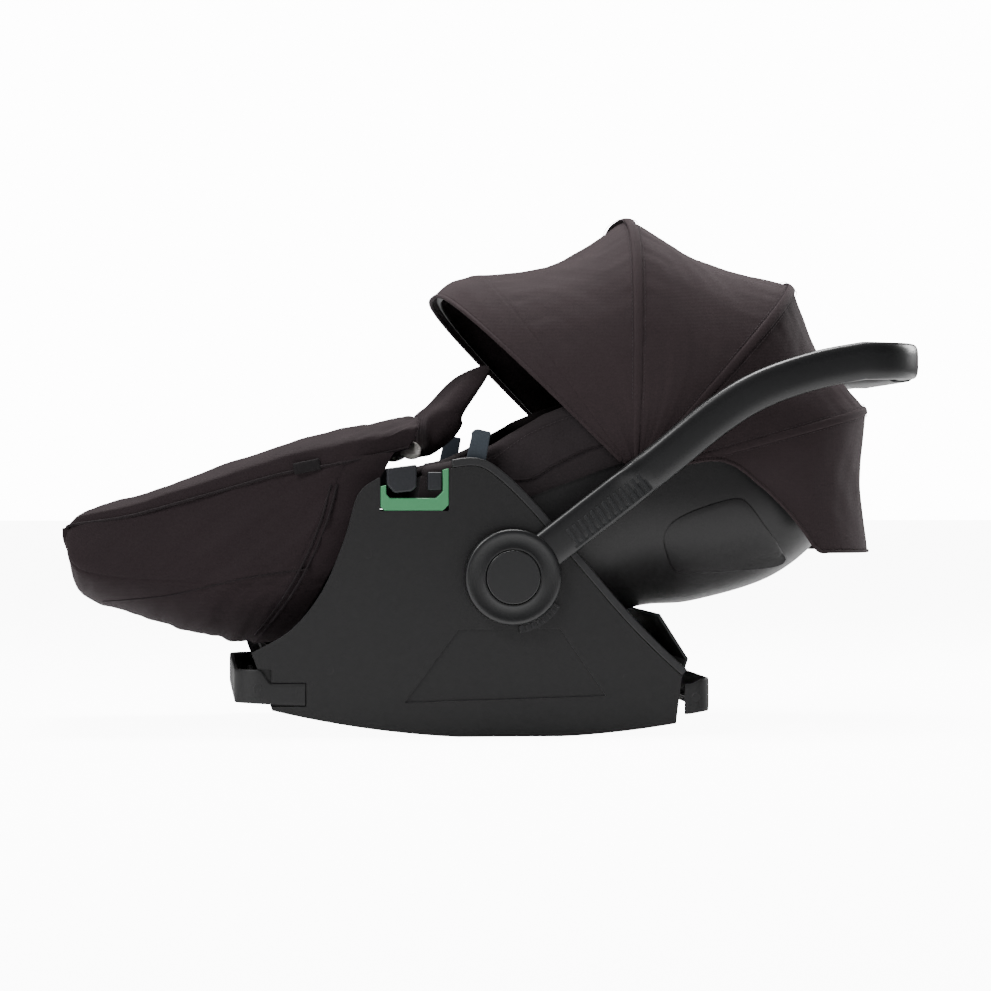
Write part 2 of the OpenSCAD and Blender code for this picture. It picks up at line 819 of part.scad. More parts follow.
// Patch of the bucket's outside on one side, between two stations and two heights up its side
module shell_patch(side, first, last, v_low, v_high, thick) {
    function grid(skin) = [for (i = [first:last])
        [for (j = [0:3]) let (v = v_low + (v_high - v_low)*j/3)
            dish_inner(bucket_floor, bucket_rim, shell_halves, i/u_steps, v, skin)]];
    on_side(side)
        sheet(grid(-gap), grid(-gap - thick));
}

// Fabric that laps over the shell's rim and down its outside
module cover_skirt() {
    color([0.15, 0.12, 0.13])
        for (side = [-1, 1])
            shell_patch(side, 5, 14, -0.98, -0.86, skirt_t);
}

module shell_insets() {
    color([0.15, 0.15, 0.15])
        for (side = [-1, 1])
            shell_patch(side, 16, 22, -0.82, -0.6, inset_t);
}

module seat_pivots() {
    color("dimgray")
        for (side = [-1, 1])
            difference() {
                union() {
                    pin_y(side, pivot_in, pivot_in + 4, pivot_r, 0, axis_z);
                    pin_y(side, pivot_in, pivot_out, axle_d/2 + 6, 0, axis_z);
                }
                pin_y(side, pivot_in - 1, pivot_out + 1, axle_d/2 + run, 0, axis_z);
            }
}

// ---- headrest ----

rest_x = 234;                                // middle of the headrest's underside
rest_mid = [rest_x, at_x(bucket_floor, rest_x) + stack + 26.4];
back_angle = 2 + atan2(bucket_floor[6].y - bucket_floor[5].y, bucket_floor[6].x - bucket_floor[5].x);
headrest_w = 2*(shell_half - stack - headrest_side_gap);
headrest_round = 34;                         // radius of the board's lower corners

module along_back(length) {
    translate([rest_mid.x, 0, rest_mid.y])
        rotate([0, -back_angle, 0])
            rotate([90, 0, 90])
                linear_extrude(length, center = true) children();
}

// U seen along the back, with round lower corners
module wing_outline(half, height, round) {
    translate([-half, round])
        square([2*half, height - round]);
    translate([-half + round, 0])
        square([2*half - 2*round, round + 1]);
    for (s = [-1, 1])
        translate([s*(half - round), round])
            circle(r = round, $fn = fine);
}

module headrest_board() {
    color([0.15, 0.15, 0.15])
        along_back(headrest_len)
            difference() {
                wing_outline(headrest_w/2, headrest_h, headrest_round);
                translate([0, headrest_board_t])
                    wing_outline(headrest_w/2 - headrest_board_t, headrest_h,
                        headrest_round - headrest_board_t);
            }
}

module headrest_pad() {
    low = headrest_board_t + gap;
    color([0.17, 0.14, 0.15])
        along_back(headrest_len - 4)
            difference() {
                translate([0, low])
                    wing_outline(headrest_w/2 - low, headrest_h, headrest_round - headrest_board_t);
                translate([0, low + headrest_pad_t])
                    wing_outline(headrest_w/2 - low - headrest_pad_t, headrest_h,
                        headrest_round - headrest_pad_t);
            }
}

// ---- harness ----

// Flat band along a list of points, wide across Y
module band(path, width, thick, lift = 0) {
    function row(i, rise) = let (d = path[min(i + 1, len(path) - 1)] - path[max(i - 1, 0)],
        w = cross([0, 0, 1], d)/norm(cross([0, 0, 1], d)), n = cross(d, w)/norm(cross(d, w)))
        [path[i] - width/2*w + rise*n, path[i] + width/2*w + rise*n];
    sheet([for (i = [0:len(path) - 1]) row(i, lift + thick)], [for (i = [0:len(path) - 1]) row(i, lift)]);
}

// Left strap paths and the buckle's middle; heights are over the shell's lowest line and the padding on it
seat_top = 95 + stack;
buckle_mid = [30, 0, seat_top + 23.4];
strap_y = shoulder_pad_w/2 + 19;             // shoulder strap at the back, from the middle
lap_y = shell_half - 68;                     // outer end of a lap strap, from the middle
shoulder_path = [for (p = [[170, 0, 52.4], [150, 0, 52.4], [120, 3, 49.4], [90, 12, 40.4], [66, 24, 29.4]])
    [p.x, p.y - strap_y, seat_top + p.z]];
lap_path = [for (p = [[64, 1, 32.4], [60, 0.8, 26.4], [55, 0.56, 23.4], [48, 0.38, 22.4]])
    [p.x, -p.y*lap_y, seat_top + p.z]];

module shoulder_straps() {
    color([0.12, 0.12, 0.12])
        for (side = [-1, 1])
            on_side(side) band(smooth(shoulder_path, 10), web_w, web_t);
}

module shoulder_pads() {
    color([0.17, 0.14, 0.15])
        for (side = [-1, 1])
            on_side(side)
                band([for (k = [1:7]) at(shoulder_path, k/10)], shoulder_pad_w, shoulder_pad_t, web_t + gap);
}

module lap_straps() {
    color([0.12, 0.12, 0.12])
        for (side = [-1, 1])
            on_side(side) band(smooth(lap_path, 8), web_w - 4, web_t);
}

module buckle_tongues() {
    color("silver")
        for (side = [-1, 1])
            translate([buckle_mid.x + buckle_len/2 + gap, side*11 - 7, buckle_mid.z - 1])
                cube([8, 14, 2.4]);
}

button_x = buckle_mid.x - 4;                 // middle of the red button
red_len = buckle_len/2 - 1;
red_w = buckle_w/2 + 4;
red_round = 6;

module buckle_body() {
    color([0.12, 0.12, 0.12])
        difference() {
            translate([buckle_mid.x, buckle_mid.y, buckle_mid.z - buckle_h/2])
                linear_extrude(buckle_h)
                    tube_section(buckle_len, buckle_w, 9);
            translate([button_x, 0, buckle_mid.z + buckle_h/2 - 7])
                linear_extrude(8)
                    tube_section(red_len + 2*gap, red_w + 2*gap, red_round + gap);
        }
}

module buckle_button() {
    color([0.75, 0.1, 0.1])
        translate([button_x, 0, buckle_mid.z + buckle_h/2 - 2.5])
            linear_extrude(4.5)
                tube_section(red_len, red_w, red_round);
}

crotch_end = buckle_mid.x - buckle_len/2 - 1;
crotch_path = [for (p = [[-31, -9], [-23, -4], [-11, -1], [0, 0]])
    [crotch_end + p.x, 0, buckle_mid.z + p.y]];

module crotch_strap() {
    color([0.12, 0.12, 0.12])
        band(crotch_path, web_w, web_t);
}

module crotch_pad() {
    color([0.17, 0.14, 0.15])
        band(crotch_path, web_w + 16, 7, web_t + gap);
}

adjuster_place = [-62, 0, seat_top + 46.4];
adjuster_angle = 48;
adjuster_w = 34;
lever_len = 26;          // the adjuster's button
lever_w = 18;
lever_from = -12;

module at_adjuster() {
    translate(adjuster_place)
        rotate([0, adjuster_angle, 0]) children();
}

module adjuster_housing() {
    color([0.14, 0.14, 0.14])
        at_adjuster()
            difference() {
                linear_extrude(10)
                    tube_section(44, adjuster_w, 6);
                translate([lever_from, -lever_w/2 - gap, 4])
                    cube([lever_len, lever_w + 2*gap, 7]);
            }
}

module adjuster_button() {
    color([0.25, 0.28, 0.32])
        at_adjuster()
            translate([lever_from + gap, -lever_w/2, 8])
                cube([lever_len - 2*gap, lever_w, 3.5]);
}

module harness_yoke() {
    yoke_len = 40;
    yoke_w = 70;
    color("silver")
        translate([104, 0, 94])
            rotate([0, -22, 0])
                translate([-yoke_len/2, -yoke_w/2, 0])
                    cube([yoke_len, yoke_w, 2.5]);
}

// ---- canopy ----

front_angle = 136;       // angles of the bows about the pivots, and of the hem at the rear
second_angle = 88.5;
third_angle = 48;
rear_angle = 15;
hem_angle = -22;
arch_power = 0.58;       // lower makes the bows squarer
band_share = 0.2;        // share of the front panel that is the stiff front band
front_sag = 34;          // depth of the hollow between two bows, at the middle
middle_sag = 29;
rear_sag = 24;
hem_sag = 16;

// Point of the canopy at angle a about the pivots; t runs from one pivot (-90) over the top to the other (90)
function canopy_point(a, t, r, half) =
    let (rho = r*pow(abs(cos(t)), arch_power), y = half*sign(t)*pow(abs(sin(t)), arch_power))
    [canopy_x + rho*cos(a), y, canopy_z + rho*sin(a)];

// Fabric between two bows, sagging by so much at its middle, after a flat first share
module canopy_span(a_from, a_to, sag, a_steps, flat = 0) {
    t_end = 86;
    t_steps = 20;
    function grid(inset) = [for (i = [0:a_steps])
        let (f = i/a_steps, a = a_from + (a_to - a_from)*f, g = max(f - flat, 0)/(1 - flat))
        [for (j = [0:t_steps]) let (t = t_end*(2*j/t_steps - 1))
            canopy_point(a, t, canopy_r - inset - sag*sin(180*g)*cos(t), canopy_half - inset)]];
    sheet(grid(0), grid(canopy_t));
}

module canopy_front_panel() {
    color([0.18, 0.14, 0.15])
        canopy_span(front_angle, second_angle + 0.2, front_sag, 10, band_share);
}

module canopy_middle_panel() {
    color([0.18, 0.14, 0.15])
        canopy_span(second_angle - 0.2, third_angle + 0.2, middle_sag, 8);
}

module canopy_rear_panel() {
    color([0.18, 0.14, 0.15])
        canopy_span(third_angle - 0.2, rear_angle + 0.2, rear_sag, 8);
}

// Distance from the pivot to the hem at the side, at angle a
function hem_rho(a) = 60 + 150*pow((rear_angle - a)/(rear_angle - hem_angle), 0.75);

module canopy_valance() {
    function t_of(a) = acos(pow(hem_rho(a)/canopy_r, 1/arch_power));
    function grid(inset) = [for (i = [0:8]) let (f = i/8, a = rear_angle - 0.2 + (hem_angle - rear_angle)*f)
        [for (j = [0:20]) let (t = t_of(a)*(2*j/20 - 1))
            canopy_point(a, t, canopy_r - inset - hem_sag*sin(180*f)*cos(t), canopy_half - inset)]];
    color([0.18, 0.14, 0.15])
        sheet(grid(0), grid(canopy_t));
}

// Flat strip bent along the arch under the fabric
module bow(a) {
    bow_steps = 40;
    inset = canopy_t + bow_gap;
    across = bow_t/2*[-sin(a), 0, cos(a)];
    function row(j, deep) =
        let (p = canopy_point(a, 88*(2*j/bow_steps - 1), canopy_r - deep, canopy_half - deep))
        [p + across, p - across];
    sheet([for (j = [0:bow_steps]) row(j, inset + bow_d)], [for (j = [0:bow_steps]) row(j, inset)]);
}

module bow_front() {
    color([0.2, 0.2, 0.2]) bow(front_angle - 2);
}

module bow_second() {
    color([0.2, 0.2, 0.2]) bow(second_angle);
}

module bow_third() {
    color([0.2, 0.2, 0.2]) bow(third_angle);
}

module bow_rear() {
    color([0.2, 0.2, 0.2]) bow(rear_angle);
}

module canopy_mounts() {
    color([0.15, 0.15, 0.15])
        for (side = [-1, 1])
            pin_y(side, skirt_out + 0.5, canopy_half - 1, 12, canopy_x, canopy_z);
}

// ---- foot muff ----

cover_rim_t = 1.4;       // thickness of the cover at its seam
cover_taper = 8;         // stations over which the cover gains its thickness at the feet
muff_floor = [[-462, 196], [-456, 156], [-438, 137], [-395, 123], [-350, 108], [-300, 96], [-262, 90]];
muff_seam = [[-461, 214], [-453, 218], [-430, 222], [-375, 231], [-305, 252], [-235, 271], [-172, 282]];
muff_half = [for (d = [40, 30, 23, 18, 12, 5, 0]) muff_out - d];
cover_top = [[-461, 218], [-440, 235], [-380, 251], [-300, 280], [-210, 311], [-140, 328], [-90, 337]];
cover_seam = [[-461.5, 217], [-453, 220.5], [-395, 229.5], [-310, 253], [-235, 274], [-172, 285],
    [-106, 301]];
cover_half = [for (d = [40, 30, 20, 12, 5, 1, 12]) muff_out - d];

module footmuff_body() {
    color([0.16, 0.12, 0.13])
        dish(muff_floor, muff_seam, muff_half, 0, muff_t, 1);
}

// Points of the cover's upper side (deep 0) or of its lining (deep 1), thin at the seam and at the feet
function cover_grid(deep) = [for (i = [2:u_steps]) [for (j = [0:v_steps])
    let (v = 2*j/v_steps - 1, p = dish_point(cover_top, cover_seam, cover_half, i/u_steps, v),
        thick = cover_rim_t + (muff_t - cover_rim_t)*(1 - v*v)*min((i - 1)/cover_taper, 1))
    [p.x, p.y*(1 - deep*cover_rim_t/muff_out), p.z - deep*thick]]];

module footmuff_cover() {
    color([0.16, 0.12, 0.13])
        sheet(cover_grid(0), cover_grid(1));
}

collar_w = 2*(canopy_half - collar_end_gap);

module footmuff_collar() {
    color([0.16, 0.12, 0.13])
        across_middle(collar_w)
            polygon(smooth([[-86, 300], [-84, 336], [-66, 354], [-44, 378], [-28, 388], [-15, 390],
                [-19, 378],
                [-44, 338], [-45, 326], [-54, 312], [-68, 300], [-80, 293], [-86, 297]], 36));
}

module footmuff_tab() {
    color([0.1, 0.1, 0.1])
        flank(-1, muff_out - 1.2, muff_out + 0.8)
            translate([-225, 272])
                rotate([0, 0, 12])
                    square([28, 12]);
}

base_tub();
side_panel_left();
side_panel_right();
rim_trim_left();
rim_trim_right();
belt_guide_left();
belt_guide_right();
belt_hooks();
belt_retainers();
front_bumper();
rear_bumper();
latch_bars();
adapter_socket_left();
adapter_socket_right();
adapter_latch_left();
adapter_latch_right();
release_lever_left();
release_lever_right();
lever_pins();
pivot_axles();
lock_teeth();
panel_screws();
handle_frame();
handle_grip();
arm_insert_left();
arm_insert_right();
handle_button_left();
handle_button_right();
seat_shell();
shell_insets();
seat_pivots();
foam_liner();
seat_pad();
cover_skirt();
headrest_board();
headrest_pad();
shoulder_straps();
shoulder_pads();
lap_straps();
crotch_strap();
crotch_pad();
buckle_body();
buckle_button();
buckle_tongues();
adjuster_housing();
adjuster_button();
harness_yoke();
canopy_mounts();
bow_rear();
bow_third();
bow_second();
bow_front();
canopy_valance();
canopy_rear_panel();
canopy_middle_panel();
canopy_front_panel();
footmuff_body();
footmuff_cover();
footmuff_collar();
footmuff_tab();
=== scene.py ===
import math

import bmesh
import bpy
import numpy as np
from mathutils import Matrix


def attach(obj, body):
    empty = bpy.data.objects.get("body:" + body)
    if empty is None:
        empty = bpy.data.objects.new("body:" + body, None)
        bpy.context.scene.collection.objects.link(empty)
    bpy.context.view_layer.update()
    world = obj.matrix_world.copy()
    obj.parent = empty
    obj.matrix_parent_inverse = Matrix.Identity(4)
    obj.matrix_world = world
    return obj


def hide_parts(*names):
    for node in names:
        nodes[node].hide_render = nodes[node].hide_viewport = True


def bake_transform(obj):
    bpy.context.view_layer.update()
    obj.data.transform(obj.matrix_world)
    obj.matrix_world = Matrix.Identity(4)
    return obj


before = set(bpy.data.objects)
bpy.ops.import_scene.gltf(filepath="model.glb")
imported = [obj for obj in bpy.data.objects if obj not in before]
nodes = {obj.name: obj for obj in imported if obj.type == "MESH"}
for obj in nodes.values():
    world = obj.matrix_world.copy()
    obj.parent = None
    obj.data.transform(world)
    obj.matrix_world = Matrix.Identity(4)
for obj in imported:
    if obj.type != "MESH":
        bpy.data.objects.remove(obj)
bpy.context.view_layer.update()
mm = 0.001
print("stage: frame loaded,", len(nodes), "nodes")


# Camera, lights and floor

cameraPlace = {"target": (0.0014, 0.0, 0.2507), "distance": 3.7, "azimuth": -5.25, "lens": 122.2}
lampPlaces = {
    "key": {"place": (-1.7, -1.7, 2.3), "aim": (0.0, 0.0, 0.25), "size": 1.0, "power": 78.0},
    "top": {"place": (-0.1, 0.2, 2.7), "aim": (0.1, 0.0, 0.3), "size": 1.2, "power": 135.0},
    "rim": {"place": (2.3, 1.0, 1.2), "aim": (0.2, 0.0, 0.3), "size": 1.0, "power": 60.0},
    "low": {"place": (-2.2, -1.6, 0.5), "aim": (-0.1, 0.0, 0.2), "size": 1.4, "power": 12.0},
}
studio = {"skyColor": (1.0, 1.0, 1.0, 1.0), "skyStrength": 0.13, "backdropGlow": 14.0,
          "floorColor": (0.94, 0.94, 0.94, 1.0), "floorRoughness": 0.9, "floorGlow": 10.0, "floorSize": 60.0}


def addToScene(thing):
    bpy.context.scene.collection.objects.link(thing)
    return thing


def mathNode(tree, operation, first, second=None, third=None):
    node = tree.nodes.new("ShaderNodeMath")
    node.operation = operation
    for socket, value in zip(node.inputs, (first, second, third)):
        if value is None:
            continue
        if isinstance(value, (int, float)):
            socket.default_value = value
        else:
            tree.links.new(value, socket)
    return node.outputs[0]


# Camera on a level circle round the target: azimuth 0 looks along +Y
def makeCamera(place):
    data = bpy.data.cameras.new("camera")
    data.lens = place["lens"]
    data.sensor_width = 36.0
    data.clip_end = 100.0
    camera = addToScene(bpy.data.objects.new("camera", data))
    turn = math.radians(place["azimuth"])
    x, y, z = place["target"]
    camera.location = (x + place["distance"] * math.sin(turn), y - place["distance"] * math.cos(turn), z)
    camera.rotation_euler = (math.pi / 2, 0.0, turn)
    bpy.context.scene.camera = camera


def makeLamp(name, spot):
    data = bpy.data.lights.new(name, "AREA")
    data.size = spot["size"]
    data.energy = spot["power"]
    lamp = addToScene(bpy.data.objects.new(name, data))
    lamp.location = spot["place"]
    away = np.array(spot["place"]) - np.array(spot["aim"])
    lamp.rotation_euler = (math.atan2(math.hypot(away[0], away[1]), away[2]), 0.0,
                           math.atan2(away[0], -away[1]))


def makeStudio(look):
    world = bpy.data.worlds.new("studio")
    world.use_nodes = True
    back = world.node_tree.nodes["Background"]
    back.inputs["Color"].default_value = look["skyColor"]
    seen = world.node_tree.nodes.new("ShaderNodeLightPath").outputs["Is Camera Ray"]
    glow = mathNode(world.node_tree, "MULTIPLY_ADD", seen,
                    look["backdropGlow"] - look["skyStrength"], look["skyStrength"])
    world.node_tree.links.new(glow, back.inputs["Strength"])
    bpy.context.scene.world = world
    half = look["floorSize"] / 2
    mesh = bpy.data.meshes.new("floor")
    corners = [(-half, -half, 0), (half, -half, 0), (half, half, 0), (-half, half, 0)]
    mesh.from_pydata(corners, [], [(0, 1, 2, 3)])
    floor = addToScene(bpy.data.objects.new("floor", mesh))
    paint = bpy.data.materials.new("floorPaint")
    paint.use_nodes = True
    shader = paint.node_tree.nodes["Principled BSDF"]
    shader.inputs["Base Color"].default_value = look["floorColor"]
    shader.inputs["Roughness"].default_value = look["floorRoughness"]
    shader.inputs["Emission Color"].default_value = look["skyColor"]
    seen = paint.node_tree.nodes.new("ShaderNodeLightPath").outputs["Is Camera Ray"]
    glow = mathNode(paint.node_tree, "MULTIPLY", seen, look["floorGlow"])
    paint.node_tree.links.new(glow, shader.inputs["Emission Strength"])
    mesh.materials.append(paint)


makeCamera(cameraPlace)
for lampName, lampSpot in lampPlaces.items():
    makeLamp(lampName, lampSpot)
makeStudio(studio)
print("stage: camera and lights")


# Node groups shared by the materials

effectLook = {"threadShare": 0.22, "fuzzScale": 900.0, "blotchScale": 14.0, "cloudScale": 9.0, "wearRadius": 0.0016,
              "wearRange": (0.03, 0.3), "scratchScale": 60.0, "dustScale": 22.0}


# Every group takes a vector and one number, and gives numbers
def newGroup(name, label, value, outputs):
    group = bpy.data.node_groups.new(name, "ShaderNodeTree")
    group.interface.new_socket("Vector", in_out="INPUT", socket_type="NodeSocketVector")
    socket = group.interface.new_socket(label, in_out="INPUT", socket_type="NodeSocketFloat")
    socket.default_value = value
    for result in outputs:
        group.interface.new_socket(result, in_out="OUTPUT", socket_type="NodeSocketFloat")
    return group, group.nodes.new("NodeGroupInput"), group.nodes.new("NodeGroupOutput")


def rampNode(tree, value, low, high):
    node = tree.nodes.new("ShaderNodeMapRange")
    node.inputs["From Min"].default_value = low
    node.inputs["From Max"].default_value = high
    tree.links.new(value, node.inputs["Value"])
    return node.outputs["Result"]


def noiseNode(tree, vector, scale, detail):
    node = tree.nodes.new("ShaderNodeTexNoise")
    node.inputs["Detail"].default_value = detail
    if isinstance(scale, (int, float)):
        node.inputs["Scale"].default_value = scale
    else:
        tree.links.new(scale, node.inputs["Scale"])
    tree.links.new(vector, node.inputs["Vector"])
    return node.outputs["Fac"]


# Woven cloth: two families of threads crossing, one up where the other is down, and slow blotches of dye
def makeWeaveGroup():
    group, into, out = newGroup("weaveEffect", "Threads", 1400.0, ("Height", "Blotch"))
    scaled = group.nodes.new("ShaderNodeVectorMath")
    scaled.operation = "SCALE"
    group.links.new(into.outputs["Vector"], scaled.inputs[0])
    group.links.new(into.outputs["Threads"], scaled.inputs["Scale"])
    parts = group.nodes.new("ShaderNodeSeparateXYZ")
    group.links.new(scaled.outputs["Vector"], parts.inputs[0])
    across = mathNode(group, "SINE", parts.outputs["X"])
    along = mathNode(group, "SINE", parts.outputs["Y"])
    up = mathNode(group, "SINE", parts.outputs["Z"])
    crossed = mathNode(group, "MULTIPLY_ADD", across, along, up)
    fuzz = noiseNode(group, into.outputs["Vector"], effectLook["fuzzScale"], 2.0)
    height = mathNode(group, "MULTIPLY_ADD", crossed, effectLook["threadShare"], fuzz)
    group.links.new(height, out.inputs["Height"])
    blotch = noiseNode(group, into.outputs["Vector"], effectLook["blotchScale"], 5.0)
    group.links.new(blotch, out.inputs["Blotch"])
    return group


# Moulded grain: fine pits at one scale, and slow cloudiness
def makeGrainGroup():
    group, into, out = newGroup("grainEffect", "Pits", 700.0, ("Height", "Cloud"))
    group.links.new(noiseNode(group, into.outputs["Vector"], into.outputs["Pits"], 3.0), out.inputs["Height"])
    cloud = noiseNode(group, into.outputs["Vector"], effectLook["cloudScale"], 5.0)
    group.links.new(cloud, out.inputs["Cloud"])
    return group


# Wear: sharp edges that stand out, broken up by scratches
def makeWearGroup():
    group, into, out = newGroup("edgeWear", "Amount", 0.5, ("Mask",))
    shape = group.nodes.new("ShaderNodeNewGeometry")
    rounded = group.nodes.new("ShaderNodeBevel")
    rounded.samples = 4
    rounded.inputs["Radius"].default_value = effectLook["wearRadius"]
    same = group.nodes.new("ShaderNodeVectorMath")
    same.operation = "DOT_PRODUCT"
    group.links.new(shape.outputs["Normal"], same.inputs[0])
    group.links.new(rounded.outputs["Normal"], same.inputs[1])
    edges = rampNode(group, mathNode(group, "SUBTRACT", 1.0, same.outputs["Value"]), *effectLook["wearRange"])
    scratch = rampNode(group, noiseNode(group, into.outputs["Vector"], effectLook["scratchScale"], 8.0), 0.4, 0.7)
    worn = mathNode(group, "MULTIPLY", edges, scratch)
    group.links.new(mathNode(group, "MULTIPLY", worn, into.outputs["Amount"]), out.inputs["Mask"])
    return group


# Dust: a pale film on faces that look up, in slow patches
def makeDustGroup():
    group, into, out = newGroup("dustEffect", "Amount", 0.2, ("Mask",))
    shape = group.nodes.new("ShaderNodeNewGeometry")
    parts = group.nodes.new("ShaderNodeSeparateXYZ")
    group.links.new(shape.outputs["Normal"], parts.inputs[0])
    upward = rampNode(group, parts.outputs["Z"], 0.2, 1.0)
    patches = rampNode(group, noiseNode(group, into.outputs["Vector"], effectLook["dustScale"], 6.0), 0.35, 0.75)
    film = mathNode(group, "MULTIPLY", upward, patches)
    group.links.new(mathNode(group, "MULTIPLY", film, into.outputs["Amount"]), out.inputs["Mask"])
    return group


effects = {"weave": makeWeaveGroup(), "grain": makeGrainGroup(), "wear": makeWearGroup(), "dust": makeDustGroup()}


def placeEffect(tree, name, vector, label=None, value=None):
    node = tree.nodes.new("ShaderNodeGroup")
    node.node_tree = effects[name]
    tree.links.new(vector, node.inputs["Vector"])
    if label:
        node.inputs[label].default_value = value
    return node


def mixColors(tree, mask, first, second):
    node = tree.nodes.new("ShaderNodeMix")
    node.data_type = "RGBA"
    tree.links.new(mask, node.inputs["Factor"])
    for label, value in (("A", first), ("B", second)):
        socket = next(s for s in node.inputs if s.name == label and s.type == "RGBA")
        if isinstance(value, tuple):
            socket.default_value = (*value, 1.0)
        else:
            tree.links.new(value, socket)
    return next(s for s in node.outputs if s.type == "RGBA")


def startMaterial(name):
    material = bpy.data.materials.new(name)
    material.use_nodes = True
    tree = material.node_tree
    place = tree.nodes.new("ShaderNodeTexCoord")
    return material, tree, tree.nodes["Principled BSDF"], place.outputs["Object"]


def linkBump(tree, shader, height, distance, strength):
    bump = tree.nodes.new("ShaderNodeBump")
    bump.inputs["Distance"].default_value = distance
    bump.inputs["Strength"].default_value = strength
    tree.links.new(height, bump.inputs["Height"])
    tree.links.new(bump.outputs["Normal"], shader.inputs["Normal"])


# Cloth: dye that varies a little, threads in the bump, a soft sheen
def makeCloth(name, look):
    material, tree, shader, place = startMaterial(name)
    weave = placeEffect(tree, "weave", place, "Threads", look["threads"])
    blotch = rampNode(tree, weave.outputs["Blotch"], 0.3, 0.7)
    dyed = mixColors(tree, blotch, look["deep"], look["color"])
    dust = placeEffect(tree, "dust", place, "Amount", look["lint"])
    tree.links.new(mixColors(tree, dust.outputs["Mask"], dyed, look["lintColor"]), shader.inputs["Base Color"])
    rough = mathNode(tree, "MULTIPLY_ADD", weave.outputs["Blotch"], 0.12, look["roughness"] - 0.06)
    tree.links.new(rough, shader.inputs["Roughness"])
    linkBump(tree, shader, weave.outputs["Height"], look["bump"], 0.6)
    shader.inputs["Sheen Weight"].default_value = look["sheen"]
    shader.inputs["Sheen Roughness"].default_value = 0.45
    shader.inputs["Sheen Tint"].default_value = (*look["sheenTint"], 1.0)
    shader.inputs["Specular IOR Level"].default_value = 0.12
    return material


# Moulded plastic or rubber: grain in the bump, cloudy gloss, paler worn edges and a little dust
def makePlastic(name, look):
    material, tree, shader, place = startMaterial(name)
    grain = placeEffect(tree, "grain", place, "Pits", look["pits"])
    wear = placeEffect(tree, "wear", place, "Amount", look["wear"])
    dust = placeEffect(tree, "dust", place, "Amount", look["dust"])
    cloud = rampNode(tree, grain.outputs["Cloud"], 0.3, 0.7)
    base = mixColors(tree, cloud, tuple(0.94 * c for c in look["color"]), look["color"])
    worn = mixColors(tree, wear.outputs["Mask"], base, look["wornColor"])
    tree.links.new(mixColors(tree, dust.outputs["Mask"], worn, look["dustColor"]), shader.inputs["Base Color"])
    rough = mathNode(tree, "MULTIPLY_ADD", grain.outputs["Cloud"], 0.06, look["roughness"] - 0.03)
    tree.links.new(rough, shader.inputs["Roughness"])
    linkBump(tree, shader, grain.outputs["Height"], look["bump"], 0.5)
    shader.inputs["Specular IOR Level"].default_value = look["shine"]
    return material


# Metal: cloudy stains in the colour, fine pits in the roughness and bump
def makeMetal(name, look):
    material, tree, shader, place = startMaterial(name)
    grain = placeEffect(tree, "grain", place, "Pits", look["pits"])
    cloud = rampNode(tree, grain.outputs["Cloud"], 0.3, 0.7)
    tree.links.new(mixColors(tree, cloud, look["color"], look["stainColor"]), shader.inputs["Base Color"])
    rough = mathNode(tree, "MULTIPLY_ADD", grain.outputs["Height"], 0.2, look["roughness"] - 0.1)
    tree.links.new(rough, shader.inputs["Roughness"])
    linkBump(tree, shader, grain.outputs["Height"], look["bump"], 0.4)
    shader.inputs["Metallic"].default_value = 1.0
    return material


clothLook = {"color": (0.026, 0.0185, 0.0200), "deep": (0.0225, 0.0158, 0.0172), "threads": 4200.0,
             "roughness": 0.82, "bump": 0.0004, "sheen": 0.06, "sheenTint": (0.8, 0.68, 0.72), "lint": 0.05,
             "lintColor": (0.12, 0.1, 0.1)}
clothFinishes = {
    "canopyCloth": {},
    "muffCloth": {"color": (0.0165, 0.0112, 0.0126), "deep": (0.0140, 0.0095, 0.0107)},
    "seatCloth": {"color": (0.022, 0.0175, 0.019), "deep": (0.016, 0.013, 0.014)},
    "fleece": {"color": (0.55, 0.53, 0.50), "deep": (0.42, 0.40, 0.38), "threads": 1500.0, "bump": 0.0012, "lint": 0.0},
    "foam": {"color": (0.05, 0.05, 0.052), "deep": (0.04, 0.04, 0.042), "threads": 2200.0},
    "webbing": {"color": (0.016, 0.016, 0.017), "deep": (0.012, 0.012, 0.013), "threads": 2600.0, "bump": 0.0006,
                "sheen": 0.08},
    "piping": {"color": (0.012, 0.009, 0.010), "deep": (0.010, 0.0075, 0.0085)},
    "thread": {"color": (0.04, 0.033, 0.035), "deep": (0.03, 0.025, 0.027), "threads": 6000.0},
    "label": {"color": (0.010, 0.009, 0.0095), "deep": (0.008, 0.007, 0.0075), "threads": 5200.0, "sheen": 0.05},
}
plasticLook = {"color": (0.0078, 0.0076, 0.0080), "wornColor": (0.07, 0.07, 0.073), "dustColor": (0.09, 0.09, 0.09),
               "pits": 900.0, "roughness": 0.47, "bump": 0.00025, "wear": 0.3, "dust": 0.02, "shine": 0.3}
plasticFinishes = {
    "panelPlastic": {},
    "tubPlastic": {"color": (0.011, 0.011, 0.0115), "roughness": 0.54},
    "trimPlastic": {"color": (0.016, 0.016, 0.017), "roughness": 0.4},
    "handlePlastic": {"color": (0.0065, 0.0066, 0.0072), "roughness": 0.33, "shine": 0.45, "pits": 1300.0,
                      "bump": 0.00012},
    "gripRubber": {"color": (0.0115, 0.012, 0.013), "roughness": 0.42, "pits": 1500.0},
    "shellPlastic": {"color": (0.0085, 0.008, 0.0085), "roughness": 0.42},
    "blockPlastic": {"color": (0.014, 0.015, 0.018), "roughness": 0.4},
    "leverPlastic": {"color": (0.030, 0.038, 0.048), "roughness": 0.42},
    "greenPlastic": {"color": (0.050, 0.215, 0.095), "roughness": 0.42, "wornColor": (0.25, 0.42, 0.3), "wear": 0.4},
    "redPlastic": {"color": (0.42, 0.016, 0.014), "roughness": 0.35, "wornColor": (0.6, 0.15, 0.13)},
}
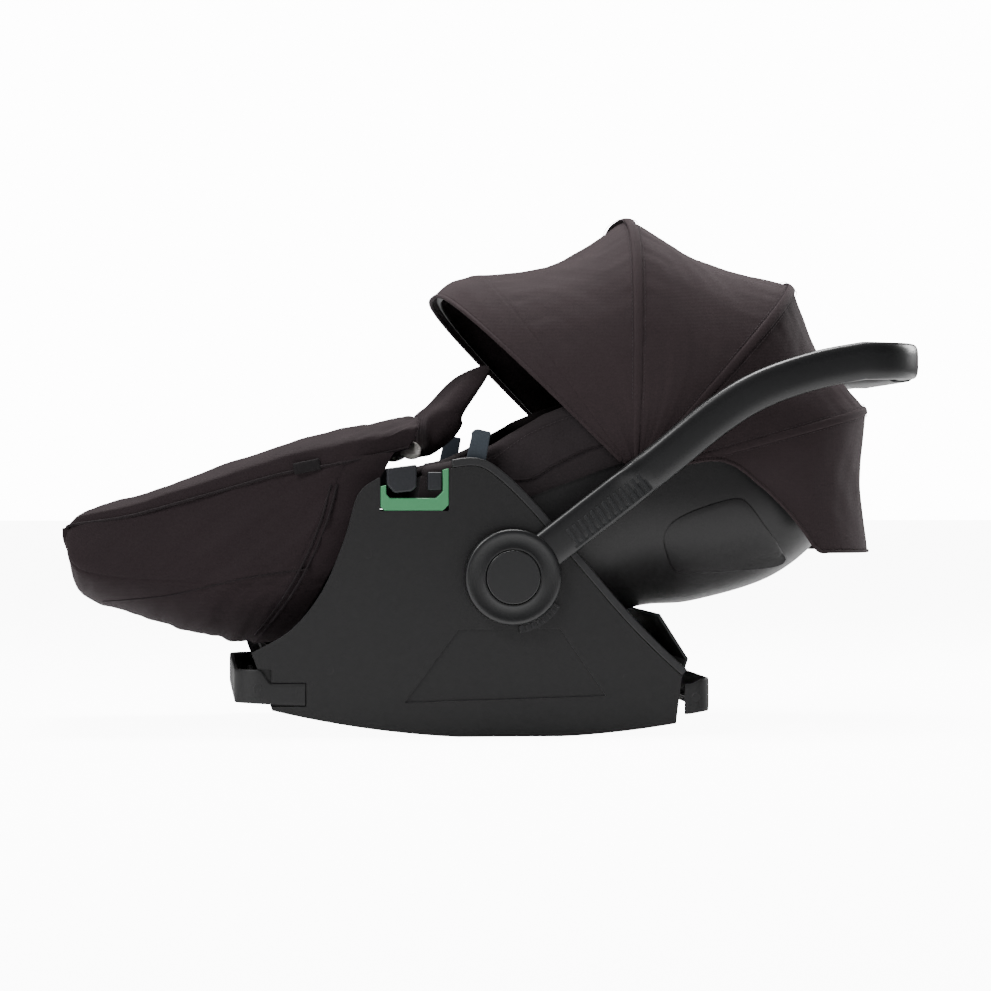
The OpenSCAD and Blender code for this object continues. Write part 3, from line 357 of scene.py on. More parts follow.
metalLook = {"pits": 500.0, "bump": 0.0001}
metalFinishes = {
    "steel": {"color": (0.42, 0.42, 0.43), "stainColor": (0.3, 0.3, 0.31), "roughness": 0.36},
    "darkSteel": {"color": (0.02, 0.02, 0.021), "stainColor": (0.014, 0.014, 0.015), "roughness": 0.5},
}
finishes = {}
for makeFinish, common, changes in ((makeCloth, clothLook, clothFinishes), (makePlastic, plasticLook, plasticFinishes),
                                    (makeMetal, metalLook, metalFinishes)):
    for finishName, change in changes.items():
        finishes[finishName] = makeFinish(finishName, {**common, **change})
print("stage: finishes")


# Mesh helpers, all lengths in mm until the mesh is filled

# Catmull-Rom curve read at u from 0 to 1: half of (2b + (c-a)f + (2a-5b+4c-d)f^2 + (3b-a-3c+d)f^3) in each span
def alongCurve(points, u):
    p = np.asarray(points, float)
    n = len(p) - 1
    s = np.clip(np.asarray(u, float), 0.0, 1.0) * n
    s = np.minimum(s, n - 1e-5)
    i = np.floor(s).astype(int)
    f = s - i
    if p.ndim == 2:
        f = f[..., None]
    a, b, c, d = p[np.maximum(i - 1, 0)], p[i], p[i + 1], p[np.minimum(i + 2, n)]
    return 0.5 * (2 * b + (c - a) * f + (2 * a - 5 * b + 4 * c - d) * f**2 + (3 * b - a - 3 * c + d) * f**3)


# Length of a path from its start to each of its points
def lengthAlong(path):
    return np.concatenate([[0.0], np.cumsum(np.linalg.norm(np.diff(path, axis=0), axis=1))])


# The same curve at even steps of its own length
def evenCurve(points, count):
    dense = alongCurve(points, np.linspace(0, 1, 600))
    walked = lengthAlong(dense)
    even = np.linspace(0, walked[-1], count)
    return np.stack([np.interp(even, walked, dense[:, k]) for k in range(dense.shape[1])], axis=1)


def unit(vectors):
    return vectors / np.maximum(np.linalg.norm(vectors, axis=-1, keepdims=True), 1e-9)


def smoothStep(low, high, value):
    t = np.clip((value - low) / (high - low), 0.0, 1.0)
    return t * t * (3 - 2 * t)


# Soft folds: three sine waves that cross at different slopes
def ripple(p, q):
    return (np.sin(3.1 * p + 1.3 * q + 0.4) + 0.6 * np.sin(5.3 * p - 2.2 * q + 1.9)
            + 0.35 * np.sin(8.7 * p + 4.1 * q)) / 1.95


# Quads of a grid of points, row after row
def gridFaces(rows, cols, offset=0, wrapRows=False, wrapCols=False):
    i, j = np.meshgrid(np.arange(rows if wrapRows else rows - 1), np.arange(cols if wrapCols else cols - 1),
                       indexing="ij")
    nextI, nextJ = (i + 1) % rows, (j + 1) % cols
    quads = np.stack([i * cols + j, nextI * cols + j, nextI * cols + nextJ, i * cols + nextJ], axis=-1)
    return quads.reshape(-1, 4) + offset


# Faces of a tube of `rows` rings, with a flat face on each end
def tubeFaces(rows, cols):
    ends = [list(range(cols)), list(range((rows - 1) * cols, rows * cols))]
    return gridFaces(rows, cols, wrapCols=True).tolist() + ends


def makePiece(name, points, faces, finish, crease=40.0):
    mesh = bpy.data.meshes.new(name)
    mesh.from_pydata((np.asarray(points).reshape(-1, 3) * mm).tolist(), [], [list(map(int, f)) for f in faces])
    shape = bmesh.new()
    shape.from_mesh(mesh)
    bmesh.ops.recalc_face_normals(shape, faces=shape.faces)
    shape.to_mesh(mesh)
    shape.free()
    mesh.shade_smooth()
    mesh.set_sharp_from_angle(angle=math.radians(crease))
    mesh.materials.append(finishes[finish])
    return addToScene(bpy.data.objects.new(name, mesh))


# Solid between two grids; its rim is drawn in over `rounding` cells so that the edge is round
def solidSheet(name, top, low, finish, rounding=2, crease=60.0):
    rows, cols = top.shape[:2]
    i, j = np.meshgrid(np.arange(rows), np.arange(cols), indexing="ij")
    inset = np.minimum(np.minimum(i, rows - 1 - i), np.minimum(j, cols - 1 - j)) / max(rounding, 1)
    full = np.sqrt(1 - (1 - np.clip(inset, 0.0, 1.0))**2) * 0.8 + 0.2
    middle = (top + low) / 2
    top = middle + (top - middle) * full[..., None]
    low = middle + (low - middle) * full[..., None]
    n = rows * cols
    index = np.arange(n).reshape(rows, cols)
    rim = np.concatenate([index[0, :-1], index[:-1, -1], index[-1, :0:-1], index[:0:-1, 0]])
    nextRim = np.roll(rim, -1)
    sides = np.stack([rim, rim + n, nextRim + n, nextRim], axis=1)
    faces = np.concatenate([gridFaces(rows, cols), gridFaces(rows, cols, n), sides])
    return makePiece(name, np.concatenate([top.reshape(-1, 3), low.reshape(-1, 3)]), faces, finish, crease)


# Profile carried along a path: each station is path + across*section[0] + up*section[1], with flat ends
def sweepGrid(path, section, upward):
    path = np.asarray(path, float)
    forward = unit(np.gradient(path, axis=0))
    up = unit(upward - (upward * forward).sum(axis=-1, keepdims=True) * forward)
    across = np.cross(forward, up)
    section = np.broadcast_to(section, (len(path),) + np.asarray(section).shape[-2:])
    return path[:, None] + across[:, None] * section[..., 0:1] + up[:, None] * section[..., 1:2]


def sweep(name, path, section, finish, upward=(0.0, 0.0, 1.0), crease=50.0):
    grid = sweepGrid(path, section, np.asarray(upward, float))
    return makePiece(name, grid, tubeFaces(*grid.shape[:2]), finish, crease)


# Superellipse with half sizes a and b: |x/a|^n + |y/b|^n = 1
def roundSection(a, b, power=2.0, count=12):
    turn = np.linspace(0, 2 * math.pi, count, endpoint=False)
    c, s = np.cos(turn), np.sin(turn)
    return np.stack([a * np.sign(c) * np.abs(c)**(2 / power), b * np.sign(s) * np.abs(s)**(2 / power)], axis=1)


# Profile of (radius, distance from the middle) turned about the Y axis through (x, z)
def lathe(name, profile, x, z, side, finish, count=96, crease=30.0):
    profile = np.asarray(profile, float)
    turn = np.linspace(0, 2 * math.pi, count, endpoint=False)[:, None]
    grid = np.stack([x + profile[:, 0] * np.cos(turn), side * (profile[:, 1] + 0 * turn),
                     z + profile[:, 0] * np.sin(turn)], axis=-1)
    faces = gridFaces(count, len(profile), wrapRows=True, wrapCols=True)
    return makePiece(name, grid, faces, finish, crease)


def joinPieces(name, pieces):
    with bpy.context.temp_override(active_object=pieces[0], selected_editable_objects=pieces):
        bpy.ops.object.join()
    pieces[0].name = name
    return pieces[0]


# Point of a dish: u along its floor, v from rim (-1) over the floor (0) to rim (1).
# It is a squarish bowl below straight walls
def dishPoint(floor, rim, half, u, v):
    b, r = alongCurve(floor, u), alongCurve(rim, u)
    w = np.minimum(alongCurve(half, u), max(half))
    turn = np.radians(90.0 * np.minimum(np.abs(v) / 0.7, 1.0))
    rise = 0.55 * (1 - np.cos(turn)**0.8) + 0.45 * np.maximum(np.abs(v) - 0.7, 0.0) / 0.3
    p = b + (r - b) * rise[..., None]
    return np.stack([p[..., 0], np.sign(v) * w * np.sin(turn)**0.8, p[..., 1]], axis=-1)


# The same point moved square to the surface, inwards for a positive skin
def dishSkin(shape, u, v, skin):
    along = dishPoint(*shape, np.minimum(u + 0.01, 1), v) - dishPoint(*shape, np.maximum(u - 0.01, 0), v)
    over = dishPoint(*shape, u, np.minimum(v + 0.04, 1)) - dishPoint(*shape, u, np.maximum(v - 0.04, -1))
    return dishPoint(*shape, u, v) + np.asarray(skin)[..., None] * unit(np.cross(along, over))


def spread(uFrom, uTo, rows, vFrom, vTo, cols):
    return np.meshgrid(np.linspace(uFrom, uTo, rows), np.linspace(vFrom, vTo, cols), indexing="ij")


# Height of a grid's surface over flat (x, z) points, on the near side: nearest node, then its tangent plane
def restOn(grid, flat, side, lift=0.0):
    normal = unit(np.cross(np.gradient(grid, axis=0), np.gradient(grid, axis=1))).reshape(-1, 3)
    spots = grid.reshape(-1, 3)
    keep = (spots[:, 1] * side > 0) & (np.abs(normal[:, 1]) > 0.15)
    spots, normal = spots[keep], normal[keep]
    flat = np.asarray(flat, float)
    near = np.argmin((spots[None, :, 0] - flat[:, None, 0])**2 + (spots[None, :, 2] - flat[:, None, 1])**2, axis=1)
    s, n = spots[near], normal[near]
    shift = np.clip((n[:, 0] * (flat[:, 0] - s[:, 0]) + n[:, 2] * (flat[:, 1] - s[:, 2])) / n[:, 1], -12, 12)
    return np.stack([flat[:, 0], s[:, 1] - shift + side * lift, flat[:, 1]], axis=1)


def mirrored(path):
    return np.asarray(path) * (1, -1, 1)


# A path drawn for the left side, or its mirror image
def onSide(path, side):
    return path if side < 0 else mirrored(path)


# Hides the CAD node that a piece stands for and puts the piece on the body it rides on
def settle(piece, body, node=None):
    if node:
        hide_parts(node)
    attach(piece, body)


# Stitches: short six-sided threads laid end to end along a path
def stitches(name, path, spacing, length, radius, finish):
    path = np.asarray(path, float)
    walked = lengthAlong(path)
    count = max(int(walked[-1] / spacing), 2)
    starts = np.linspace(0, walked[-1] - length, count)
    at = lambda d: np.stack([np.interp(d, walked, path[:, k]) for k in range(3)], axis=1)
    first, last = at(starts), at(starts + length)
    forward = unit(last - first)
    side = unit(np.cross(forward, np.where(np.abs(forward[:, 2:]) > 0.9, (1.0, 0.0, 0.0), (0.0, 0.0, 1.0))))
    up = np.cross(side, forward)
    turn = np.linspace(0, 2 * math.pi, 6, endpoint=False)
    ring = side[:, None] * np.cos(turn)[:, None] + up[:, None] * np.sin(turn)[:, None]
    middle = (first + last) / 2
    rings = np.stack([first[:, None] + 0.5 * radius * ring, middle[:, None] + radius * ring,
                      last[:, None] + 0.5 * radius * ring], axis=1)
    base = (np.arange(count) * 18)[:, None, None]
    faces = (gridFaces(3, 6, wrapCols=True)[None] + base).reshape(-1, 4).tolist()
    faces += (np.arange(6)[None] + base[:, 0]).tolist() + (np.arange(12, 18)[None] + base[:, 0]).tolist()
    return makePiece(name, rings, faces, finish, 80.0)


# Hard parts that keep their CAD shape: doubles welded, edges rounded, a finish each

cadFinishes = {
    "tubPlastic": ("base_tub", "adapter_socket_left", "adapter_socket_right"),
    "panelPlastic": ("side_panel_left", "side_panel_right"),
    "trimPlastic": ("rim_trim_left", "rim_trim_right", "lock_teeth"),
    "greenPlastic": ("belt_guide_left", "belt_guide_right"),
    "blockPlastic": ("belt_hooks", "belt_retainers", "headrest_board", "buckle_body", "adjuster_housing",
                     "canopy_mounts", "seat_pivots"),
    "leverPlastic": ("release_lever_left", "release_lever_right", "adjuster_button"),
    "handlePlastic": ("handle_button_left", "handle_button_right"),
    "gripRubber": ("handle_grip", "arm_insert_left", "arm_insert_right"),
    "steel": ("adapter_latch_left", "adapter_latch_right", "buckle_tongues", "harness_yoke"),
    "darkSteel": ("latch_bars", "lever_pins", "pivot_axles", "bow_rear", "bow_third", "bow_second", "bow_front"),
    "redPlastic": ("buckle_button",),
}
dressLook = {"weld": 0.00002, "flatAngle": 0.7, "bevelAngle": 38.0, "bevelSegments": 3, "bevelWidth": 0.4}
roundEdges = {
    2.0: ("belt_hooks",),
    1.6: ("side_panel_left", "side_panel_right", "belt_retainers"),
    1.5: ("rim_trim_left", "rim_trim_right", "buckle_body", "adjuster_housing"),
    1.4: ("release_lever_left", "release_lever_right"),
    1.2: ("handle_button_left", "handle_button_right"),
    1.0: ("handle_grip", "belt_guide_left", "belt_guide_right"),
    0.8: ("base_tub", "buckle_button"),
    0.6: ("seat_pivots",),
    0.5: ("latch_bars",),
    0.35: ("arm_insert_left", "arm_insert_right"),
    0.25: ("lock_teeth",),
}
edgeWidths = {member: width for width, members in roundEdges.items() for member in members}


def dressNode(name, finish):
    piece = nodes[name]
    piece.data.materials.clear()
    piece.data.materials.append(finishes[finish])
    piece.data.shade_smooth()
    weld = piece.modifiers.new("weld", "WELD")
    weld.merge_threshold = dressLook["weld"]
    flat = piece.modifiers.new("flat", "DECIMATE")
    flat.decimate_type = "DISSOLVE"
    flat.angle_limit = math.radians(dressLook["flatAngle"])
    bevel = piece.modifiers.new("bevel", "BEVEL")
    bevel.width = edgeWidths.get(name, dressLook["bevelWidth"]) * mm
    bevel.segments = dressLook["bevelSegments"]
    bevel.limit_method = "ANGLE"
    bevel.angle_limit = math.radians(dressLook["bevelAngle"])
    bevel.use_clamp_overlap = True
    bevel.harden_normals = False
    normals = piece.modifiers.new("normals", "WEIGHTED_NORMAL")
    normals.keep_sharp = True


for finishName, members in cadFinishes.items():
    for member in members:
        dressNode(member, finishName)
print("stage: hard parts")


# Sizes shared with the frame

sizes = {"axisZ": 166.0, "hubIn": 205.4, "armOut": 216.9, "armIn": 196.9, "barX": 430.0, "barZ": 393.0,
         "cornerR": 60.0, "canopyX": 132.0, "canopyZ": 272.0, "canopyR": 280.0, "canopyHalf": 189.0, "canopyT": 2.4}
angles = {"front": 135.4, "second": 88.5, "third": 48.0, "rear": 15.0}
bucketFloor = [[-112, 248], [-100, 160], [-30, 98], [70, 95], [150, 128], [215, 135], [300, 161], [355, 208],
               [378, 268]]
bucketRim = [[-112, 262], [-88, 273], [-30, 290], [50, 334], [130, 358], [205, 362], [280, 353], [338, 332],
             [378, 296]]
bucketWidest = 174.0
bucketHalf = [bucketWidest * s for s in (0.8, 0.93, 1, 1, 1, 0.99, 0.94, 0.8, 0.5)]
bucket = (bucketFloor, bucketRim, bucketHalf)


# Base: bumpers, and caps over the screws and the ends of the latch bars

bumperLooks = {
    "frontBumper": {"node": "front_bumper", "root": -215.0, "tip": -285.5, "round": 24.0, "low": 33.0,
                    "legTop": 56.6, "tipTop": 71.0, "stepFrom": -250.0, "stepTo": -263.0},
    "rearBumper": {"node": "rear_bumper", "root": 181.5, "tip": 206.5, "round": 16.0, "low": 22.0,
                   "legTop": 54.0, "tipTop": 60.0, "stepFrom": 186.0, "stepTo": 204.0},
}
bumperShape = {"edge": 202.4, "halfWall": 2.5, "footRise": 3.0, "power": 5.0, "sectionPoints": 36}
capPlaces = {"panel": ((-190, 70), (-150, 190), (120, 60), (36, 190)), "bar": ((-264, 52), (193, 40))}


# U seen from above: a leg, a quarter turn, the front and the same again; its upright section grows from leg to tip
def makeBumper(name, look):
    way = math.copysign(1.0, look["tip"] - look["root"])
    turn = np.radians(np.linspace(0, 90, 20))
    edge = bumperShape["edge"]
    straight = look["tip"] - way * look["round"]
    leg = np.linspace(look["root"], straight, 24)[:-1]
    x = np.concatenate([leg, straight + way * look["round"] * np.sin(turn), np.full(30, look["tip"])])
    y = np.concatenate([np.full(23, -edge), -edge + look["round"] * (1 - np.cos(turn)),
                        np.linspace(-edge + look["round"], 0, 31)[1:]])
    x, y = np.concatenate([x, x[-2::-1]]), np.concatenate([y, -y[-2::-1]])
    stepped = smoothStep(0, 1, (x - look["stepFrom"]) / (look["stepTo"] - look["stepFrom"]))
    top = look["legTop"] + (look["tipTop"] - look["legTop"]) * stepped
    tipward = smoothStep(0, 1, np.abs(x - look["root"]) / abs(look["tip"] - look["root"]))
    foot = look["low"] + bumperShape["footRise"] * tipward
    path = np.stack([x, y, (top + foot) / 2], axis=1)
    shape = roundSection(1.0, 1.0, bumperShape["power"], bumperShape["sectionPoints"])
    half = (top - foot)[:, None] / 2
    section = np.stack([bumperShape["halfWall"] * shape[:, 0] + 0 * half, half * shape[:, 1]], axis=-1)
    flat = path.copy()
    flat[:, 2] = path[:, 2].mean()
    grid = sweepGrid(flat, section, np.array((0.0, 0.0, 1.0)))
    grid[..., 2] += (path[:, 2] - flat[:, 2])[:, None]
    piece = makePiece(name, grid, tubeFaces(*grid.shape[:2]), "tubPlastic", 50.0)
    settle(piece, "base", look["node"])


for bumperName, bumperLook in bumperLooks.items():
    makeBumper(bumperName, bumperLook)

screwCap = [(0.01, 203.0), (3.9, 203.0), (3.9, 204.9), (4.5, 204.94), (4.4, 205.03), (0.01, 205.06)]
barCap = [(0.01, 204.55), (4.6, 204.55), (4.6, 204.9), (4.2, 205.2), (0.01, 205.25)]


# One cap at each place on both sides
def makeCaps(name, profile, places, finish):
    return joinPieces(name, [lathe("cap", profile, x, z, side, finish, 32) for side in (-1, 1) for x, z in places])


caps = makeCaps("screwCaps", screwCap, capPlaces["panel"], "panelPlastic")
settle(caps, "base", "panel_screws")
ends = makeCaps("barCaps", barCap, capPlaces["bar"], "tubPlastic")
settle(ends, "base")
print("stage: base")


# Carrying handle

handleLook = {"armHeight": 40.0, "barHeight": 37.0, "barHalfWidth": 10.0, "barDip": 1.0, "power": 3.6,
              "sectionPoints": 44}
armAxis = [[0, 0], [75.1, 58.1], [149.9, 115.9], [213.9, 167], [262, 195.9], [320, 216.1], [370, 226]]
# Hub: a ring with a shallow dish round the button's pocket
hubProfile = [(6.1, 205.4), (47.5, 205.4), (49.4, 206.2), (50, 208), (50, 215.6), (49.6, 217.4), (48.6, 218.5),
              (47, 218.9), (45, 218.9), (43, 218.6), (41, 218.3), (37, 218.1), (33, 218.2), (31.4, 218.5),
              (30.2, 218.7), (28.9, 218.5), (28.4, 217.6), (28.3, 211.6), (6.1, 211.4)]


# Arm, corner, bar, corner and arm as one path: its section widens where the arm leaves the panels
def makeHandle(look):
    flat = alongCurve(armAxis, np.linspace(0.06, 1, 70))
    reach = np.hypot(flat[:, 0], flat[:, 1])
    wide = smoothStep(150, 172, reach)
    outer, inner = sizes["armOut"], sizes["hubIn"] + (sizes["armIn"] - sizes["hubIn"]) * wide
    arm = np.stack([flat[:, 0], -(outer + inner) / 2, sizes["axisZ"] + flat[:, 1]], axis=1)
    turn = np.radians(np.linspace(0, 90, 26))[1:]
    r, midY = sizes["cornerR"], (sizes["armOut"] + sizes["armIn"]) / 2
    corner = np.stack([sizes["barX"] - r + r * np.sin(turn), -(midY - r) - r * np.cos(turn),
                       0 * turn + sizes["barZ"]], axis=1)
    corner[:, 2] -= look["barDip"] * (1 - smoothStep(0, 1, turn / turn[-1]))
    half = np.concatenate([arm, corner])
    path = np.concatenate([half, mirrored(half)[::-1]])
    width = np.concatenate([(outer - inner) / 2, np.full(len(corner), look["barHalfWidth"])])
    height = np.concatenate([np.full(len(arm), look["armHeight"] / 2),
                             np.linspace(look["armHeight"], look["barHeight"], len(corner)) / 2])
    width, height = np.concatenate([width, width[::-1]]), np.concatenate([height, height[::-1]])
    shape = roundSection(1.0, 1.0, look["power"], look["sectionPoints"])
    section = np.stack([width[:, None] * shape[:, 0], height[:, None] * shape[:, 1]], axis=-1)
    parts = [sweep("handleTube", path, section, "handlePlastic", crease=60.0)]
    for side in (-1, 1):
        parts.append(lathe("hub", hubProfile, 0.0, sizes["axisZ"], side, "handlePlastic", crease=50.0))
    return joinPieces("handleTube", parts)


handle = makeHandle(handleLook)
settle(handle, "handle", "handle_frame")
print("stage: handle")


# Bucket shell and the soft parts in it

def bucketSheet(name, uRange, vRange, skins, finish, rows=150, cols=110, swell=None, rounding=2):
    u, v = spread(*uRange, rows, *vRange, cols)
    lift = 0.0 if swell is None else swell(u, v)
    top = dishSkin(bucket, u, v, 0 * u + skins[1] + lift)
    low = dishSkin(bucket, u, v, 0 * u + skins[0])
    return solidSheet(name, top, low, finish, rounding)


shell = bucketSheet("seatShell", (0, 1), (-1, 1), (0.0, 3.0), "shellPlastic", 130, 110, rounding=1)
settle(shell, "seat", "seat_shell")

liner = bucketSheet("foamLiner", (2.2 / 28, 26.8 / 28), (-0.95, 0.95), (3.9, 14.6), "foam", 80, 70)
settle(liner, "seat", "foam_liner")


insetOutline = [[170, 184], [164, 204], [170, 220], [186, 231], [212, 241], [240, 248], [254, 243], [273, 220],
                [296, 192], [303, 181], [290, 174], [250, 170], [205, 168], [180, 170], [170, 184]]


# Inset panel on each side of the shell: rings of its outline drawn in to its middle, laid on the shell
def makeInset(side):
    outline = evenCurve(insetOutline, 121)[:-1]
    surface = dishSkin(bucket, *spread(0.45, 0.95, 260, 0.4, 0.95, 200), np.full((260, 200), 0.0)) * (1, -1, 1)
    share = np.array([1.0, 0.996, 0.985, 0.97, 0.8, 0.6, 0.4, 0.2, 0.04])
    lift = np.array([-0.8, 0.2, 0.7, 0.9, 0.9, 0.9, 0.9, 0.9, 0.9])
    centre = outline.mean(axis=0)
    rings = [restOn(surface, centre + (outline - centre) * k, -1, rise) for k, rise in zip(share, lift)]
    grid = onSide(np.stack(rings), side)
    return makePiece("inset", grid, tubeFaces(*grid.shape[:2]), "shellPlastic", 40.0)


insets = joinPieces("shellInsets", [makeInset(-1), makeInset(1)])
settle(insets, "seat", "shell_insets")


padLook = {"channels": (0.2, 0.36, 0.52, 0.68, 0.84), "pitch": 0.16, "sideChannel": 0.52, "crown": 1.6, "depth": 3.4}


# Pad: cushions between sewn channels, each channel a narrow groove
def padSwell(u, v):
    first, pitch = padLook["channels"][0], padLook["pitch"]
    groove = sum(np.exp(-((u - c) / 0.006)**2) for c in padLook["channels"]) * (1 - smoothStep(0.62, 0.72, np.abs(v)))
    groove = groove + np.exp(-((np.abs(v) - padLook["sideChannel"]) / 0.012)**2)
    crown = padLook["crown"] * np.cos(np.pi * (np.mod(u - first, pitch) / pitch - 0.5))**2
    return crown - padLook["depth"] * np.minimum(groove, 1.0)


pad = bucketSheet("seatPad", (2.3 / 28, 26.6 / 28), (-0.97, 0.97), (15.8, 24.0), "seatCloth", 220, 130, padSwell, 3)
settle(pad, "seat", "seat_pad")

bolsterLook = {"from": 3.4 / 28, "to": 26.4 / 28, "halfWidth": 12.4, "halfHeight": 9.5}
skirtSeam = [[-17, 289], [20, 315], [66, 334], [104, 342]]
skirtEdge = [[-20, 268], [20, 268], [45, 281], [82, 299], [120, 307]]


# Padded roll on the rim and a skirt of fabric down the outside of the shell
def makeSkirt(look):
    parts = []
    for side in (-1, 1):
        u = np.linspace(look["from"], look["to"], 150)
        outside = dishPoint(*bucket, u, 0 * u + 0.995) * (1, side, 1)
        path = outside - np.stack([0 * u, 0 * u + side * (look["halfWidth"] - 2.6), 0 * u + 1.0], axis=1)
        path[:, 2] += 0.5 * ripple(u * 40, 0.5)
        ends = np.sqrt(np.clip(np.minimum(u - look["from"], look["to"] - u) / 0.012, 0.02, 1))
        shape = roundSection(look["halfWidth"], look["halfHeight"], 2.5, 28)
        roll = sweep("roll", path, ends[:, None, None] * shape, "seatCloth", crease=80.0)
        parts.append(roll)
        uu, vv = spread(3.2 / 28, 15.6 / 28, 120, 0.8, 0.992, 26)
        top = dishSkin(bucket, uu, side * vv, 0 * uu - 0.4)
        low = dishSkin(bucket, uu, side * vv, 0 * uu - 3.0 - 0.3 * ripple(uu * 26, vv * 9))
        parts.append(solidSheet("skirt", top, low, "seatCloth"))
    return joinPieces("coverSkirt", parts)


skirt = makeSkirt(bolsterLook)
settle(skirt, "seat", "cover_skirt")
skirtSurface = dishSkin(bucket, *spread(0.1, 0.62, 300, 0.72, 0.999, 80), np.full((300, 80), -3.3)) * (1, -1, 1)
for side, label in ((-1, "Left"), (1, "Right")):
    seam = onSide(restOn(skirtSurface, evenCurve(skirtSeam, 60), -1, 0.35), side)
    edge = onSide(restOn(skirtSurface, evenCurve(skirtEdge, 60), -1, 0.2), side)
    row = stitches("skirtStitch" + label, seam, 4.2, 2.8, 0.42, "thread")
    cord = sweep("skirtPiping" + label, edge, roundSection(1.3, 1.3), "piping")
    for extra in (row, cord):
        settle(extra, "seat")
print("stage: bucket")


# Small pads: the CAD solid remeshed, swollen by a short cloth simulation and smoothed

plumpLook = {"shrink": 0.4, "pressure": 4.0, "quality": 4, "lastFrame": 12, "smoothBefore": 4, "smoothAfter": 2}
smallPads = {    # node, voxel and largest swelling in mm, body, fill
    "headrestPad": ("headrest_pad", 4.5, 2.2, "headrest", 0.7),
    "shoulderPads": ("shoulder_pads", 3.0, 1.5, "seat", 0.5),
    "crotchPad": ("crotch_pad", 2.5, 1.2, "seat", 0.5),
}


def applyModifiers(piece):
    bpy.context.view_layer.update()
    solved = piece.evaluated_get(bpy.context.evaluated_depsgraph_get())
    mesh = bpy.data.meshes.new_from_object(solved)
    piece.modifiers.clear()
    piece.data = mesh


def readVertices(mesh, what):
    values = np.zeros(len(mesh.vertices) * 3)
    mesh.vertices.foreach_get(what, values)
    return values.reshape(-1, 3)


def plumpCopy(name, node, voxel, cap, body, fill):
    mesh = nodes[node].data.copy()
    piece = addToScene(bpy.data.objects.new(name, mesh))
    piece.matrix_world.identity()
    shape = bmesh.new()
    shape.from_mesh(mesh)
    bmesh.ops.remove_doubles(shape, verts=shape.verts, dist=dressLook["weld"])
    shape.to_mesh(mesh)
    shape.free()
    bpy.context.view_layer.objects.active = piece
    remesh = piece.modifiers.new("remesh", "REMESH")
    remesh.mode = "VOXEL"
    remesh.voxel_size = voxel * mm
    smooth = piece.modifiers.new("smooth", "SMOOTH")
    smooth.factor = 0.5
    smooth.iterations = plumpLook["smoothBefore"]
    applyModifiers(piece)
    start = readVertices(piece.data, "co")
    start = start - readVertices(piece.data, "normal") * plumpLook["shrink"] * mm
    piece.data.vertices.foreach_set("co", start.ravel())
    cloth = piece.modifiers.new("cloth", "CLOTH")
    cloth.settings.use_pressure = True
    cloth.settings.uniform_pressure_force = plumpLook["pressure"]
    cloth.settings.effector_weights.gravity = 0.0
    cloth.settings.quality = plumpLook["quality"]
    cloth.point_cache.frame_start = 1
    cloth.point_cache.frame_end = plumpLook["lastFrame"]
    for step in range(1, plumpLook["lastFrame"] + 1):
        bpy.context.scene.frame_set(step)
    applyModifiers(piece)
    bpy.context.scene.frame_set(1)
    move = readVertices(piece.data, "co") - start
    far = np.maximum(np.linalg.norm(move, axis=1, keepdims=True), 1e-9)
    kept = start + move * np.minimum(1.0, cap * mm / far)
    piece.data.vertices.foreach_set("co", kept.ravel())
    smooth = piece.modifiers.new("smooth", "SMOOTH")
    smooth.iterations = plumpLook["smoothAfter"]
    finer = piece.modifiers.new("finer", "SUBSURF")
    finer.levels = finer.render_levels = 1
    applyModifiers(piece)
    piece.data.materials.clear()
    piece.data.materials.append(finishes["seatCloth"])
    piece.data.shade_smooth()
    settle(piece, body, node)


for padName, padSizes in smallPads.items():
    plumpCopy(padName, *padSizes)
print("stage: small pads")


# Harness webbing: a flat band along each path, its edges rolled a little

seatTop = 119.6
strapLook = {"shoulder": 32.0, "lap": 28.0, "crotch": 32.0, "thick": 2.0, "ribs": 5, "ribHeight": 0.12}


def strapPart(path, width, thick):
    path = evenCurve(path, 60)
    forward = unit(np.gradient(path, axis=0))
    side = unit(np.cross((0.0, 0.0, 1.0), forward))
    up = np.cross(forward, side)
    w = np.linspace(-0.5, 0.5, 15)
    rib = strapLook["ribHeight"] * np.cos(w * 2 * np.pi * strapLook["ribs"])
    top = path[:, None] + side[:, None] * (w * width)[:, None] + up[:, None] * (thick + rib)[:, None]
    low = path[:, None] + side[:, None] * (w * width)[:, None]
    return solidSheet("strap", top, low, "webbing", 1)


def makeStraps(name, node, path, width, both=True):
    parts = [strapPart(path, width, strapLook["thick"])]
    if both:
        parts.append(strapPart(mirrored(path), width, strapLook["thick"]))
    piece = joinPieces(name, parts) if both else parts[0]
    piece.name = name
    settle(piece, "seat", node)


shoulderPath = [(x, y - 46.0, seatTop + z) for x, y, z in
                ((170, 0, 52.4), (150, 0, 52.4), (120, 3, 49.4), (90, 12, 40.4), (66, 24, 29.4))]
lapPath = [(x, -y * 106.0, seatTop + z) for x, y, z in
           ((64, 1, 32.4), (60, 0.8, 26.4), (55, 0.56, 23.4), (48, 0.38, 22.4))]
crotchPath = [(2 + x, 0.0, seatTop + 23.4 + z) for x, z in ((-31, -9), (-23, -4), (-11, -1), (0, 0))]
makeStraps("shoulderStraps", "shoulder_straps", shoulderPath, strapLook["shoulder"])
makeStraps("lapStraps", "lap_straps", lapPath, strapLook["lap"])
makeStraps("crotchStrap", "crotch_strap", crotchPath, strapLook["crotch"], both=False)
print("stage: harness")


# Canopy

canopyLook = {"hemSag": 18.0, "fold": 1.9, "bandStep": 9.0, "seamHeight": 1.3}
archPower = 0.58    # below 1 squares the arch towards a flat top and straight sides
archEnd = 89.6    # degrees at which the fabric stops short of the pivots


